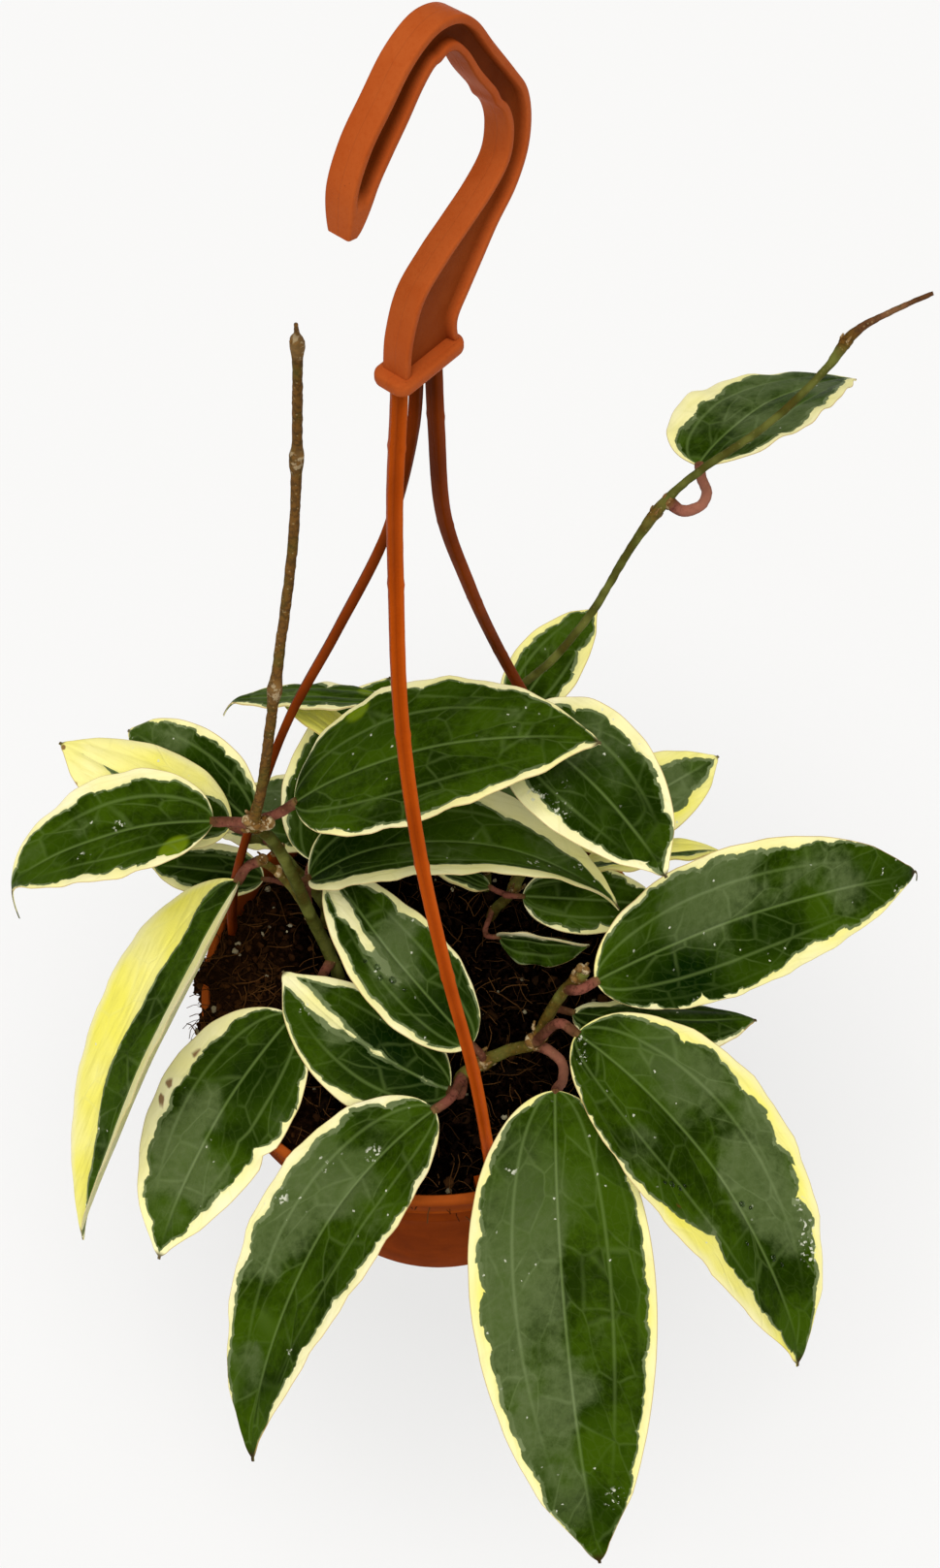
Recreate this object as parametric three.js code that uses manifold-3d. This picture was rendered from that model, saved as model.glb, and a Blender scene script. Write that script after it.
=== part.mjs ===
// A variegated hoya in a hanging pot: pot, soil, hook, three straps, climbing stems and leaves.
// Millimetres, +Z up. Everything is laid out from the middle of the pot's underside, and the
// whole group is then moved so that the point where the hook bears on its rail is the origin.
import * as THREE from "three";
import { mergeVertices } from "three/addons/utils/BufferGeometryUtils.js";
import Module from "manifold-3d";

const wasm = await Module();
wasm.setup();

// Driving dimensions of the pot
const POT_HEIGHT = 108;
const RIM_RADIUS = 70;
const BASE_RADIUS = 51;
const WALL = 2;
const RIM_BAND = 23;
const LEDGE = POT_HEIGHT - RIM_BAND;
const LEDGE_RADIUS = 63.5;
const RIM_TAPER = 2.6;
const RIM_THICKENING = 0.6;
const ROUND_STEPS = 36;
const DRAIN_HOLES = 6;
const DRAIN_RADIUS = 3.5;
const DRAIN_RING = 36;
const DRAIN_TURN = 15;

// Driving dimensions of the hanger
const STRAP_WIDTH = 3.2;
const STRAP_DEPTH = 2.2;
const STRAP_GROOVE = 0.5;
const STRAP_STEPS = 22;
const HOOK_WIDTH = 6;
const HOOK_RECESS = 1.9;
const HOOK_EDGE = 1.5;
const COLLAR_BOTTOM = 348;
const COLLAR_TOP = 352.5;
const HOOK_BEARING = [7, 0, 411.5];
const HOOK_SMOOTH = 40;
const COLLAR_LENGTH = 19;
const COLLAR_WIDTH = 8.6;
const COLLAR_CORNER = 2.5;
const COLLAR_MIDDLE = 1.6;
const SOCKET_DEPTH = 3;
const SOCKET_WIDTH = 4.4;

// Driving dimensions of the lugs inside the rim and the straps' barbed feet that clip into them
const FOOT_ANGLES = [-125, 115, -5];
const FOOT_RADIUS = 64.2;
const FOOT_BOTTOM = 94;
const BARB_WIDTH = 5.4;
const LUG_TOP = 104;
const LUG_BOTTOM = 99;
const LUG_WIDTH = 9;
const LUG_INNER = 61.5;
const POCKET_BOTTOM = FOOT_BOTTOM - 1.5;

// Driving dimensions of the plant
const BLADE_THICKNESS = 1.2;
const SOIL_LEVEL = 100;
const STEM_FOOT = SOIL_LEVEL - 22;
const STEM_HOLE_CLEARANCE = 0.6;
const PETIOLE_RADIUS = 1.4;
const PETIOLE_BEND = 5;
const NODE_SWELLING = 0.45;
const GAP = 0.3;

const TERRACOTTA = new THREE.MeshStandardMaterial({ color: 0x9c4a1c, roughness: 0.55 });
const HANGER_ORANGE = new THREE.MeshStandardMaterial({ color: 0xb4531f, roughness: 0.5 });
const SOIL = new THREE.MeshStandardMaterial({ color: 0x1c120c, roughness: 1 });
const STEM = new THREE.MeshStandardMaterial({ color: 0x5d5a24, roughness: 0.7 });
const LEAF = new THREE.MeshStandardMaterial({ color: 0x33481e, roughness: 0.4 });
const LEAF_YELLOW = new THREE.MeshStandardMaterial({ color: 0xd9d58a, roughness: 0.45 });

const radians = THREE.MathUtils.degToRad;
const point = ([x, y, z]) => new THREE.Vector3(x, y, z);

// Solids

function solid(geometry) {
  const bare = geometry.clone();
  bare.deleteAttribute("normal");
  bare.deleteAttribute("uv");
  const merged = mergeVertices(bare, 1e-3);
  return new wasm.Manifold(
    new wasm.Mesh({
      numProp: 3,
      vertProperties: merged.attributes.position.array,
      triVerts: new Uint32Array(merged.index.array),
    }),
  );
}

function geometryOf(body) {
  const { numProp, numVert, vertProperties, triVerts } = body.getMesh();
  const positions = new Float32Array(numVert * 3);
  for (let i = 0; i < numVert; i += 1) {
    positions.set(vertProperties.subarray(i * numProp, i * numProp + 3), i * 3);
  }
  const geometry = new THREE.BufferGeometry();
  geometry.setAttribute("position", new THREE.BufferAttribute(positions, 3));
  geometry.setIndex(new THREE.BufferAttribute(triVerts, 1));
  geometry.computeVertexNormals();
  return geometry;
}

function box(width, depth, height, x, y, z) {
  return solid(new THREE.BoxGeometry(width, depth, height).translate(x, y, z));
}

// Joins rings of equally many points into one closed skin, with a flat cap on each end.
function loft(rings, outline) {
  const count = rings[0].length;
  const positions = rings.flat().flatMap((p) => [p.x, p.y, p.z]);
  const faces = [];
  for (let i = 0; i + 1 < rings.length; i += 1) {
    for (let j = 0; j < count; j += 1) {
      const a = i * count + j;
      const b = i * count + ((j + 1) % count);
      faces.push(a, b, b + count, a, b + count, a + count);
    }
  }
  const last = (rings.length - 1) * count;
  for (const [a, b, c] of THREE.ShapeUtils.triangulateShape(outline, [])) {
    faces.push(c, b, a, last + a, last + b, last + c);
  }
  const geometry = new THREE.BufferGeometry();
  geometry.setAttribute("position", new THREE.Float32BufferAttribute(positions, 3));
  geometry.setIndex(faces);
  return geometry;
}

// A round stem along a smooth path, whose radius is given by a function of the way along it.
function tube(points, radius, steps, sides = 6) {
  const path = new THREE.CatmullRomCurve3(points.map(point), false, "centripetal");
  const frames = path.computeFrenetFrames(steps, false);
  const outline = [];
  for (let j = 0; j < sides; j += 1) {
    const angle = (2 * Math.PI * j) / sides;
    outline.push(new THREE.Vector2(Math.cos(angle), Math.sin(angle)));
  }
  const rings = [];
  for (let i = 0; i <= steps; i += 1) {
    const centre = path.getPointAt(i / steps);
    const r = radius(i / steps);
    rings.push(
      outline.map((o) =>
        centre
          .clone()
          .addScaledVector(frames.normals[i], o.x * r)
          .addScaledVector(frames.binormals[i], o.y * r),
      ),
    );
  }
  return loft(rings, outline);
}

// Leaf blades: where each starts, its heading and pitch there, its size, how it droops along its
// length, rolls about it, sweeps to its left and cups upwards, and where its stalk leaves the stem.
// Lengths in millimetres, angles in degrees.

const LEAVES = {
  leaf_front: {
    base: [-14, -56, 131], heading: -141, pitch: -16, length: 125, width: 50,
    droop: 24, roll: 5, sweep: 12, cup: 0.1, from: [-3, -40, 122],
  },
  leaf_front_left: {
    base: [-36, -31, 120], heading: 165, pitch: -7, length: 102, width: 41,
    droop: 40, roll: 7, sweep: 46, cup: 0.2, from: [-20, -28, 113],
  },
  leaf_front_right: {
    base: [0, -52, 139], heading: -86, pitch: -5, length: 109, width: 48,
    droop: 45, roll: -1, sweep: -27, cup: 0.25, from: [-3, -40, 122],
  },
  leaf_right: {
    base: [13, -48, 146], heading: -20, pitch: 1, length: 107, width: 43,
    droop: 14, roll: 47, sweep: -14, cup: 0.05, from: [9, -42, 140],
  },
  leaf_left_low: {
    base: [-39, 21, 116], heading: 180, pitch: -7, length: 77, width: 40,
    droop: 26, roll: -6, sweep: 18, cup: 0.1, from: [-16, 27, 111],
  },
  leaf_inner_left: {
    base: [-26, -28, 112], heading: 114, pitch: 15, length: 57, width: 34,
    droop: 9, roll: -12, sweep: -38, cup: -0.1, from: [-20, -28, 113],
  },
  leaf_inner_middle: {
    base: [-15, -27, 123], heading: 91, pitch: 26, length: 67, width: 30,
    droop: 18, roll: 0, sweep: -19, cup: 0.1, from: [-15, -31, 117],
  },
  leaf_top: {
    base: [-18, 31, 194], heading: -39, pitch: 38, length: 83, width: 47,
    droop: 39, roll: -7, sweep: -19, cup: 0.05, from: [-29, 36, 192],
  },
  leaf_curled: {
    base: [-15, 33, 150], heading: -37, pitch: 41, length: 91, width: 37,
    droop: 82, roll: -12, sweep: -37, cup: 0.35, from: [-17, 31, 130],
  },
  leaf_top_right: {
    base: [37, 1, 198], heading: -94, pitch: 11, length: 59, width: 35,
    droop: 33, roll: 17, sweep: -11, cup: 0.3, from: [43, 18, 178],
  },
  leaf_back_right: {
    base: [43, -14, 150], heading: -28, pitch: 11, length: 53, width: 26,
    droop: 18, roll: 16, sweep: 18, cup: 0.05, from: [44, -7, 146],
  },
  leaf_right_under: {
    base: [43, -20, 138], heading: -41, pitch: 16, length: 42, width: 20,
    droop: 26, roll: -33, sweep: -3, cup: 0.15, from: [42, -8, 136],
  },
  leaf_right_small: {
    base: [30, -9, 128], heading: -58, pitch: 8, length: 42, width: 21,
    droop: 22, roll: 21, sweep: 11, cup: 0.1, from: [33, -2, 118],
  },
  leaf_right_low: {
    base: [14, -41, 117], heading: -62, pitch: 4, length: 53, width: 27,
    droop: 18, roll: -26, sweep: 26, cup: -0.2, from: [-3, -40, 122],
  },
  leaf_small_folded: {
    base: [23, -6, 110], heading: -76, pitch: 27, length: 29, width: 15,
    droop: 17, roll: 85, sweep: 15, cup: 0.5, from: [31, 3, 107],
  },
  leaf_small_inner: {
    base: [28, 2, 124], heading: 114, pitch: 22, length: 26, width: 12,
    droop: 24, roll: 26, sweep: -7, cup: 0, from: [33, -2, 118],
  },
  leaf_left: {
    base: [-34, 46, 189], heading: 128, pitch: -1, length: 60, width: 33,
    droop: 31, roll: -3, sweep: 23, cup: 0.25, from: [-29, 36, 192],
  },
  leaf_left_yellow: {
    base: [-23, 54, 166], heading: 120, pitch: 29, length: 52, width: 28,
    droop: 23, roll: -8, sweep: -21, cup: -0.1, from: [-20, 52, 158], yellow: true,
  },
  leaf_left_back: {
    base: [-16, 53, 160], heading: 87, pitch: 12, length: 53, width: 26,
    droop: 28, roll: -28, sweep: 4, cup: 0.2, from: [-14, 51, 151],
  },
  leaf_left_under: {
    base: [-12, 58, 120], heading: 121, pitch: 5, length: 37, width: 18,
    droop: 24, roll: -10, sweep: -6, cup: 0.1, from: [-5, 42, 118],
  },
  leaf_left_folded: {
    base: [-30, 46, 154], heading: -173, pitch: -21, length: 114, width: 54,
    droop: 29, roll: 44, sweep: 4, cup: 0.35, from: [-22, 45, 156], yellow: true,
  },
  leaf_back_edge: {
    base: [26, 37, 188], heading: 128, pitch: 8, length: 47, width: 21,
    droop: 24, roll: 33, sweep: -3, cup: 0.05, from: [43, 18, 178],
  },
  leaf_yellow_tip: {
    base: [16, 33, 173], heading: 98, pitch: 24, length: 36, width: 16,
    droop: 24, roll: 28, sweep: -2, cup: 0.1, from: [43, 18, 178], yellow: true,
  },
  leaf_behind_top: {
    base: [-8, 39, 145], heading: 22, pitch: 33, length: 60, width: 30,
    droop: 27, roll: 2, sweep: -9, cup: 0.2, from: [-19, 31, 135],
  },
  leaf_vine_foot: {
    base: [53, 15, 172], heading: -2, pitch: 40, length: 40, width: 20,
    droop: 25, roll: 10, sweep: -3, cup: 0.15, from: [43, 18, 178],
  },
  leaf_vine: {
    base: [113, 1, 236], heading: 8, pitch: 3, length: 65, width: 42,
    droop: 23, roll: -20, sweep: -33, cup: 0.1, from: [94, -2, 240],
  },
  leaf_back: {
    base: [32, 27, 129], heading: 62, pitch: -18, length: 86, width: 40,
    droop: 25, roll: 0, sweep: 0, cup: 0.1, from: [38, 11, 112],
  },
  leaf_back_low: {
    base: [47, 11, 124], heading: 25, pitch: -20, length: 80, width: 34,
    droop: 25, roll: 0, sweep: 0, cup: 0.1, from: [40, -3, 128],
  },
  leaf_back_left: {
    base: [18, 50, 118], heading: 98, pitch: -17, length: 69, width: 33,
    droop: 25, roll: 0, sweep: 0, cup: 0.1, from: [-4, 41, 112],
  },
};

// Half width along the blade: blunt at the base, widest before the middle, drawn out at the tip.
const BASE_POWER = 0.55;
const TIP_POWER = 0.8;
const WIDEST = BASE_POWER / (BASE_POWER + TIP_POWER);
const FULL = WIDEST ** BASE_POWER * (1 - WIDEST) ** TIP_POWER;
const END_HALF_WIDTH = 0.7;

function halfWidth(leaf, t) {
  const shape = (t ** BASE_POWER * (1 - t) ** TIP_POWER) / FULL;
  return Math.max((leaf.width / 2) * shape, END_HALF_WIDTH);
}

// The frame at the blade's base: forward along the midrib, up off its upper face, and left.
function bladeFrame(leaf) {
  const h = radians(leaf.heading);
  const p = radians(leaf.pitch);
  const forward = new THREE.Vector3(Math.cos(h) * Math.cos(p), Math.sin(h) * Math.cos(p), Math.sin(p));
  const up = new THREE.Vector3(-Math.cos(h) * Math.sin(p), -Math.sin(h) * Math.sin(p), Math.cos(p));
  const left = new THREE.Vector3().crossVectors(up, forward);
  return { forward, up, left };
}

// A point of the blade, t along the midrib and u across it, lifted off its middle surface.
function bladePoint(leaf, t, u, lift) {
  const { forward, up, left } = bladeFrame(leaf);
  const bend = radians(leaf.droop || 1e-3);
  const turn = radians(leaf.sweep || 1e-3);
  const roll = radians(leaf.roll);
  const along = (leaf.length * Math.sin(bend * t)) / bend;
  const down = (leaf.length * (1 - Math.cos(bend * t))) / bend;
  const aside = (leaf.length * (1 - Math.cos(turn * t))) / turn;
  const tangent = forward.clone().multiplyScalar(Math.cos(bend * t));
  tangent.addScaledVector(up, -Math.sin(bend * t));
  const normal = up.clone().multiplyScalar(Math.cos(bend * t));
  normal.addScaledVector(forward, Math.sin(bend * t));
  const across = left.clone().multiplyScalar(Math.cos(turn * t));
  across.addScaledVector(tangent, -Math.sin(turn * t));
  const side = across.clone().multiplyScalar(Math.cos(roll)).addScaledVector(normal, Math.sin(roll));
  const face = normal.clone().multiplyScalar(Math.cos(roll)).addScaledVector(across, -Math.sin(roll));
  const w = halfWidth(leaf, t);
  return point(leaf.base)
    .addScaledVector(forward, along)
    .addScaledVector(up, -down)
    .addScaledVector(left, aside)
    .addScaledVector(side, w * u)
    .addScaledVector(face, w * leaf.cup * Math.abs(u) ** 1.5 + lift);
}

// A closed blade whose two faces are split into triangles alike.
function bladeGeometry(leaf) {
  const steps = leaf.length > 50 ? 10 : 8;
  const across = [-1, -0.5, 0, 0.5, 1];
  const n = across.length;
  const positions = [];
  for (const lift of [BLADE_THICKNESS / 2, -BLADE_THICKNESS / 2]) {
    for (let i = 0; i <= steps; i += 1) {
      const t = 0.5 - 0.5 * Math.cos((Math.PI * i) / steps);
      for (const u of across) {
        positions.push(...bladePoint(leaf, t, u, lift).toArray());
      }
    }
  }
  const under = (steps + 1) * n;
  const faces = [];
  for (let i = 0; i < steps; i += 1) {
    for (let j = 0; j + 1 < n; j += 1) {
      const a = i * n + j;
      const b = a + 1;
      const c = b + n;
      const d = a + n;
      faces.push(a, d, c, a, c, b);
      faces.push(under + a, under + c, under + d, under + a, under + b, under + c);
    }
    for (const [j, sign] of [[0, 1], [n - 1, -1]]) {
      const a = i * n + j;
      const d = a + n;
      const quad = [a, under + a, under + d, a, under + d, d];
      faces.push(...(sign > 0 ? quad : quad.reverse()));
    }
  }
  for (let j = 0; j + 1 < n; j += 1) {
    const a = j;
    const b = j + 1;
    faces.push(a, b, under + b, a, under + b, under + a);
    const c = steps * n + j;
    const d = c + 1;
    faces.push(c, under + d, d, c, under + c, under + d);
  }
  const geometry = new THREE.BufferGeometry();
  geometry.setAttribute("position", new THREE.Float32BufferAttribute(positions, 3));
  geometry.setIndex(faces);
  return geometry;
}

// The leaf stalk from a stem to just short of the blade's base.
function petiole(leaf) {
  const { forward } = bladeFrame(leaf);
  const start = point(leaf.from);
  const end = point(leaf.base).addScaledVector(forward, -GAP);
  const reach = Math.min(PETIOLE_BEND, start.distanceTo(end) / 2);
  const bend = end.clone().addScaledVector(forward, -reach);
  const points = [start, bend, end].map((p) => p.toArray());
  return solid(tube(points, () => PETIOLE_RADIUS, 5));
}

// Stems, each a path with its radius, and the swellings at its nodes

const STEM_LEFT = {
  path: [
    [-15, 24, STEM_FOOT], [-16, 25, 104], [-16, 29, 118], [-19, 31, 140],
    [-21, 32, 157], [-24, 35, 178], [-29, 36, 192],
  ],
  radius: 2.1, steps: 12,
};
const STICK = {
  path: [
    [-29, 36, 192], [-26, 34, 206], [-18, 31, 248], [-6, 33, 283], [-1, 34, 306], [-1, 30, 342],
    [-2, 29, 345],
  ],
  radius: 1.6, steps: 24, nodes: [0, 0.27, 0.71, 0.98],
};
const STEM_SECOND = {
  path: [[-19, 31, 140], [-19, 37, 147], [-20, 42, 152], [-22, 45, 156]], radius: 1.5, steps: 5,
};
const STEM_FRONT = {
  path: [
    [-21, -27, STEM_FOOT], [-21, -27, 104], [-20, -28, 113], [-15, -31, 117],
    [-8, -35, 119], [-3, -40, 122], [3, -40, 130], [8, -41, 138], [13, -44, 147],
  ],
  radius: 2.1, steps: 20, nodes: [0.48, 0.7, 1],
};
const STEM_BACK_LEFT = {
  path: [
    [-4, 41, STEM_FOOT], [-4, 41, 104], [-4, 41, 112], [-8, 47, 132], [-14, 51, 151],
    [-20, 52, 158],
  ],
  radius: 1.8, steps: 9,
};
const STEM_RIGHT = {
  path: [
    [30, 5, STEM_FOOT], [31, 3, 104], [33, -2, 118], [40, -3, 128], [42, -8, 136],
    [44, -7, 146],
  ],
  radius: 1.8, steps: 10,
};
const VINE = {
  path: [
    [38, 11, STEM_FOOT], [38, 11, 104], [41, 15, 150], [43, 18, 178], [52, 12, 190],
    [57, 5, 203], [67, 0, 218], [81, -1, 232], [94, -2, 240], [102, -6, 247], [116, -15, 258],
    [131, -21, 270], [141, -22, 276], [151, -29, 282], [155, -34, 286],
  ],
  radius: 1.3, steps: 40, nodes: [0.33, 0.67, 0.91],
};

function stemRadius(stem) {
  const swellings = stem.nodes || [];
  return (t) => {
    const swelling = swellings.reduce((most, s) => Math.max(most, 1 - Math.abs(t - s) * 25), 0);
    return stem.radius * (1 + NODE_SWELLING * swelling);
  };
}

function stemSolid(stem) {
  return solid(tube(stem.path, stemRadius(stem), stem.steps));
}

// One branch is its stems and its leaves' stalks, grown together.
function branch({ stems, leaves }) {
  const stalks = leaves.map((name) => petiole(LEAVES[name]));
  return [...stems.map(stemSolid), ...stalks].reduce((body, piece) => body.add(piece));
}

const BRANCHES = {
  stem_left: {
    stems: [STEM_LEFT, STICK, STEM_SECOND],
    leaves: [
      "leaf_top", "leaf_left", "leaf_left_folded", "leaf_curled", "leaf_behind_top", "leaf_left_low",
    ],
  },
  stem_front: {
    stems: [STEM_FRONT],
    leaves: [
      "leaf_front", "leaf_front_left", "leaf_front_right", "leaf_right", "leaf_inner_left",
      "leaf_inner_middle", "leaf_right_low",
    ],
  },
  stem_back_left: {
    stems: [STEM_BACK_LEFT],
    leaves: ["leaf_left_yellow", "leaf_left_back", "leaf_left_under", "leaf_back_left"],
  },
  stem_right: {
    stems: [STEM_RIGHT],
    leaves: [
      "leaf_back_right", "leaf_right_under", "leaf_right_small", "leaf_small_folded", "leaf_small_inner",
      "leaf_back_low",
    ],
  },
  vine: {
    stems: [VINE],
    leaves: [
      "leaf_top_right", "leaf_back_edge", "leaf_yellow_tip", "leaf_vine_foot", "leaf_vine", "leaf_back",
    ],
  },
};

// Pot and soil

// The inner face: a cone below the ledge, and a steeper, thicker-walled one in the rim band.
function innerRadius(z) {
  if (z < LEDGE) {
    return BASE_RADIUS + ((LEDGE_RADIUS - BASE_RADIUS) * z) / LEDGE - WALL;
  }
  return RIM_RADIUS - WALL - RIM_THICKENING - (RIM_TAPER * (POT_HEIGHT - z)) / RIM_BAND;
}

function potShell() {
  const profile = [
    [0, 0], [BASE_RADIUS - 1, 0], [BASE_RADIUS, 1.2],
    [LEDGE_RADIUS, LEDGE], [RIM_RADIUS - RIM_TAPER, LEDGE + 1.6], [RIM_RADIUS - 0.4, POT_HEIGHT - 1.5],
    [RIM_RADIUS, POT_HEIGHT - 0.8], [RIM_RADIUS - 0.4, POT_HEIGHT], [RIM_RADIUS - WALL - 0.3, POT_HEIGHT],
    [innerRadius(POT_HEIGHT - 1), POT_HEIGHT - 1], [innerRadius(LEDGE + 1), LEDGE + 1],
    [innerRadius(LEDGE - 1), LEDGE - 1], [innerRadius(WALL + 2), WALL + 2], [innerRadius(WALL) - 2, WALL],
    [0, WALL],
  ];
  const points = profile.map(([r, z]) => new THREE.Vector2(r, z));
  return solid(new THREE.LatheGeometry(points, ROUND_STEPS).rotateX(Math.PI / 2));
}

function around(body, angle) {
  return body.rotate([0, 0, angle]);
}

function pot() {
  let body = potShell();
  for (const angle of FOOT_ANGLES) {
    const outer = innerRadius(LUG_BOTTOM) + WALL / 2;
    const middle = (LUG_TOP + LUG_BOTTOM) / 2;
    const lug = box(outer - LUG_INNER, LUG_WIDTH, LUG_TOP - LUG_BOTTOM, (outer + LUG_INNER) / 2, 0, middle);
    const slot = box(
      STRAP_DEPTH + 2 * GAP, STRAP_WIDTH + 2 * GAP, 2 * (LUG_TOP - LUG_BOTTOM), FOOT_RADIUS, 0, middle,
    );
    body = body.add(around(lug, angle)).subtract(around(slot, angle));
  }
  for (let i = 0; i < DRAIN_HOLES; i += 1) {
    const drill = new THREE.CylinderGeometry(DRAIN_RADIUS, DRAIN_RADIUS, 4 * WALL, 10);
    const hole = solid(drill.rotateX(Math.PI / 2).translate(DRAIN_RING, 0, WALL / 2));
    body = body.subtract(around(hole, (360 * i) / DRAIN_HOLES + DRAIN_TURN));
  }
  return geometryOf(body);
}

// The soil's top: loose and uneven, heaped a little towards the pot's left side.
function soilHeight(x, y) {
  const lumps = Math.sin(x * 0.19 + 1.3) * Math.cos(y * 0.23 - 0.4) + 0.6 * Math.sin(x * 0.41 - y * 0.33);
  const heap = Math.max(0, -x * 0.4 + y * 0.35) * 0.08;
  return SOIL_LEVEL + 1.1 * lumps + heap;
}

function soilGeometry() {
  const bottom = WALL + GAP;
  const profile = [
    [0, bottom], [innerRadius(WALL) - 3, bottom], [innerRadius(WALL + 4) - GAP, WALL + 4],
    [innerRadius(LEDGE - 1) - GAP, LEDGE - 1 + GAP], [innerRadius(LEDGE + 1) - 2 * GAP, LEDGE + 1 + 2 * GAP],
  ];
  for (const r of [innerRadius(SOIL_LEVEL) - 3 * GAP, 57, 48, 36, 24, 12, 0]) {
    profile.push([r, SOIL_LEVEL]);
  }
  const points = profile.map(([r, z]) => new THREE.Vector2(r, z));
  const geometry = new THREE.LatheGeometry(points, ROUND_STEPS).rotateX(Math.PI / 2);
  const position = geometry.attributes.position;
  for (let i = 0; i < position.count; i += 1) {
    if (position.getZ(i) > SOIL_LEVEL - 0.5) {
      position.setZ(i, soilHeight(position.getX(i), position.getY(i)));
    }
  }
  return geometry;
}

function soil() {
  let body = solid(soilGeometry());
  for (const { stems } of Object.values(BRANCHES)) {
    const { path, radius } = stems[0];
    const [below, above] = path.map(point);
    const deepest = below.clone().addScaledVector(above.clone().sub(below).normalize(), -GAP);
    const mouth = above.clone().lerp(below, -0.2);
    const ends = [deepest, mouth].map((p) => p.toArray());
    body = body.subtract(solid(tube(ends, () => radius + STEM_HOLE_CLEARANCE, 2, 8)));
  }
  for (const angle of FOOT_ANGLES) {
    const width = 2 * (RIM_RADIUS - LUG_INNER + 1);
    const pocket = box(width, LUG_WIDTH + 2, 2 * (POT_HEIGHT - POCKET_BOTTOM), RIM_RADIUS, 0, POT_HEIGHT);
    body = body.subtract(around(pocket, angle));
  }
  return geometryOf(body);
}

// Hanger: the straps run from the collar under the hook, out and down to the lugs in the rim

const STRAPS = {
  strap_front: {
    top: -4.4, foot: FOOT_ANGLES[0],
    path: [[-7, 0, 320], [-9, -1, 297], [-18, -9, 268], [-26, -20, 234], [-31, -32, 196], [-34, -44, 155]],
  },
  strap_left: {
    top: 0.6, foot: FOOT_ANGLES[1],
    path: [[0, 1, 332], [-3, 6, 304], [-9, 18, 267], [-16, 31, 229], [-22, 43, 184], [-27, 53, 139]],
  },
  strap_right: {
    top: 5.6, foot: FOOT_ANGLES[2],
    path: [[6, 0, 330], [10, 2, 300], [18, 2, 271], [31, 5, 237], [42, 4, 206], [57, 1, 165], [63, -2, 135]],
  },
};

function strapGeometry(strap) {
  const out = new THREE.Vector3(Math.cos(radians(strap.foot)), Math.sin(radians(strap.foot)), 0);
  const foot = out.clone().multiplyScalar(FOOT_RADIUS);
  const path = [
    [strap.top, 0, COLLAR_BOTTOM + SOCKET_DEPTH - GAP], [strap.top, 0, COLLAR_BOTTOM - 2], ...strap.path,
    [foot.x, foot.y, LUG_TOP + 2], [foot.x, foot.y, FOOT_BOTTOM],
  ];
  const curve = new THREE.CatmullRomCurve3(path.map(point), false, "centripetal");
  const w = STRAP_WIDTH / 2;
  const d = STRAP_DEPTH / 2;
  const outline = [
    [-w, -d], [-w * 0.35, -d], [0, STRAP_GROOVE - d], [w * 0.35, -d], [w, -d], [w, d], [-w, d],
  ].map(([a, b]) => new THREE.Vector2(a, b));
  const rings = [];
  for (let i = 0; i <= STRAP_STEPS; i += 1) {
    const t = i / STRAP_STEPS;
    const centre = curve.getPointAt(t);
    const down = t === 0 || t === 1 ? new THREE.Vector3(0, 0, -1) : curve.getTangentAt(t);
    const side = new THREE.Vector3().crossVectors(down, out).normalize();
    const face = new THREE.Vector3().crossVectors(down, side).normalize();
    rings.push(outline.map((o) => centre.clone().addScaledVector(side, o.x).addScaledVector(face, o.y)));
  }
  return loft(rings, outline);
}

function strap(spec) {
  const top = LUG_BOTTOM - GAP;
  const barb = box(STRAP_DEPTH, BARB_WIDTH, top - FOOT_BOTTOM, FOOT_RADIUS, 0, (top + FOOT_BOTTOM) / 2);
  return geometryOf(solid(strapGeometry(spec)).add(around(barb, spec.foot)));
}

// The hook's band, as its outer and inner edges in the upright plane through the pot's axis.
const HOOK_OUTER = [
  [-17.5, 390], [-16.5, 398], [-12.7, 404.6], [-7.4, 409.8], [-1.6, 415], [4.7, 417.8], [10.5, 417.2],
  [15, 414], [19.6, 407.7], [25.3, 400], [28.7, 394.8], [30, 388.5], [29.2, 382], [26, 376], [21, 371],
  [16.7, 365.7], [12.9, 361], [9.5, 356.5], [8.5, COLLAR_TOP - 1],
];
const HOOK_INNER = [
  [-14.3, 389.3], [-10.5, 396], [-6.5, 400.5], [-2.5, 404.5], [1.5, 408.8], [5, 411.3], [9, 411.5],
  [12, 408.5], [15, 403.5], [19.5, 397.5], [22.6, 392.5], [23.6, 388], [22.5, 383], [18, 379], [11.5, 375.3],
  [5.5, 372], [-1, 367], [-4.5, 359], [-5.5, COLLAR_TOP - 1],
];

function bandShape(outer, inner, smooth) {
  const vectors = (list) => list.map(([x, z]) => new THREE.Vector2(x, z));
  const there = new THREE.SplineCurve(vectors(outer)).getPoints(smooth);
  const back = new THREE.SplineCurve(vectors(inner)).getPoints(smooth).reverse();
  return new THREE.Shape([...there, ...back]);
}

function plate(shape, thickness, y) {
  const geometry = new THREE.ExtrudeGeometry(shape, { depth: thickness, bevelEnabled: false });
  return solid(geometry.rotateX(Math.PI / 2).translate(0, y + thickness / 2, 0));
}

// The recess keeps a raised edge of even width along both sides of the band.
function recessShape() {
  const edges = HOOK_OUTER.slice(1, -1).map((outerPoint, i) => {
    const outer = new THREE.Vector2(...outerPoint);
    const inner = new THREE.Vector2(...HOOK_INNER[i + 1]);
    const inward = inner.clone().sub(outer).normalize().multiplyScalar(HOOK_EDGE);
    return [outer.clone().add(inward).toArray(), inner.clone().sub(inward).toArray()];
  });
  return bandShape(edges.map(([outer]) => outer), edges.map(([, inner]) => inner), HOOK_SMOOTH - 6);
}

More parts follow.
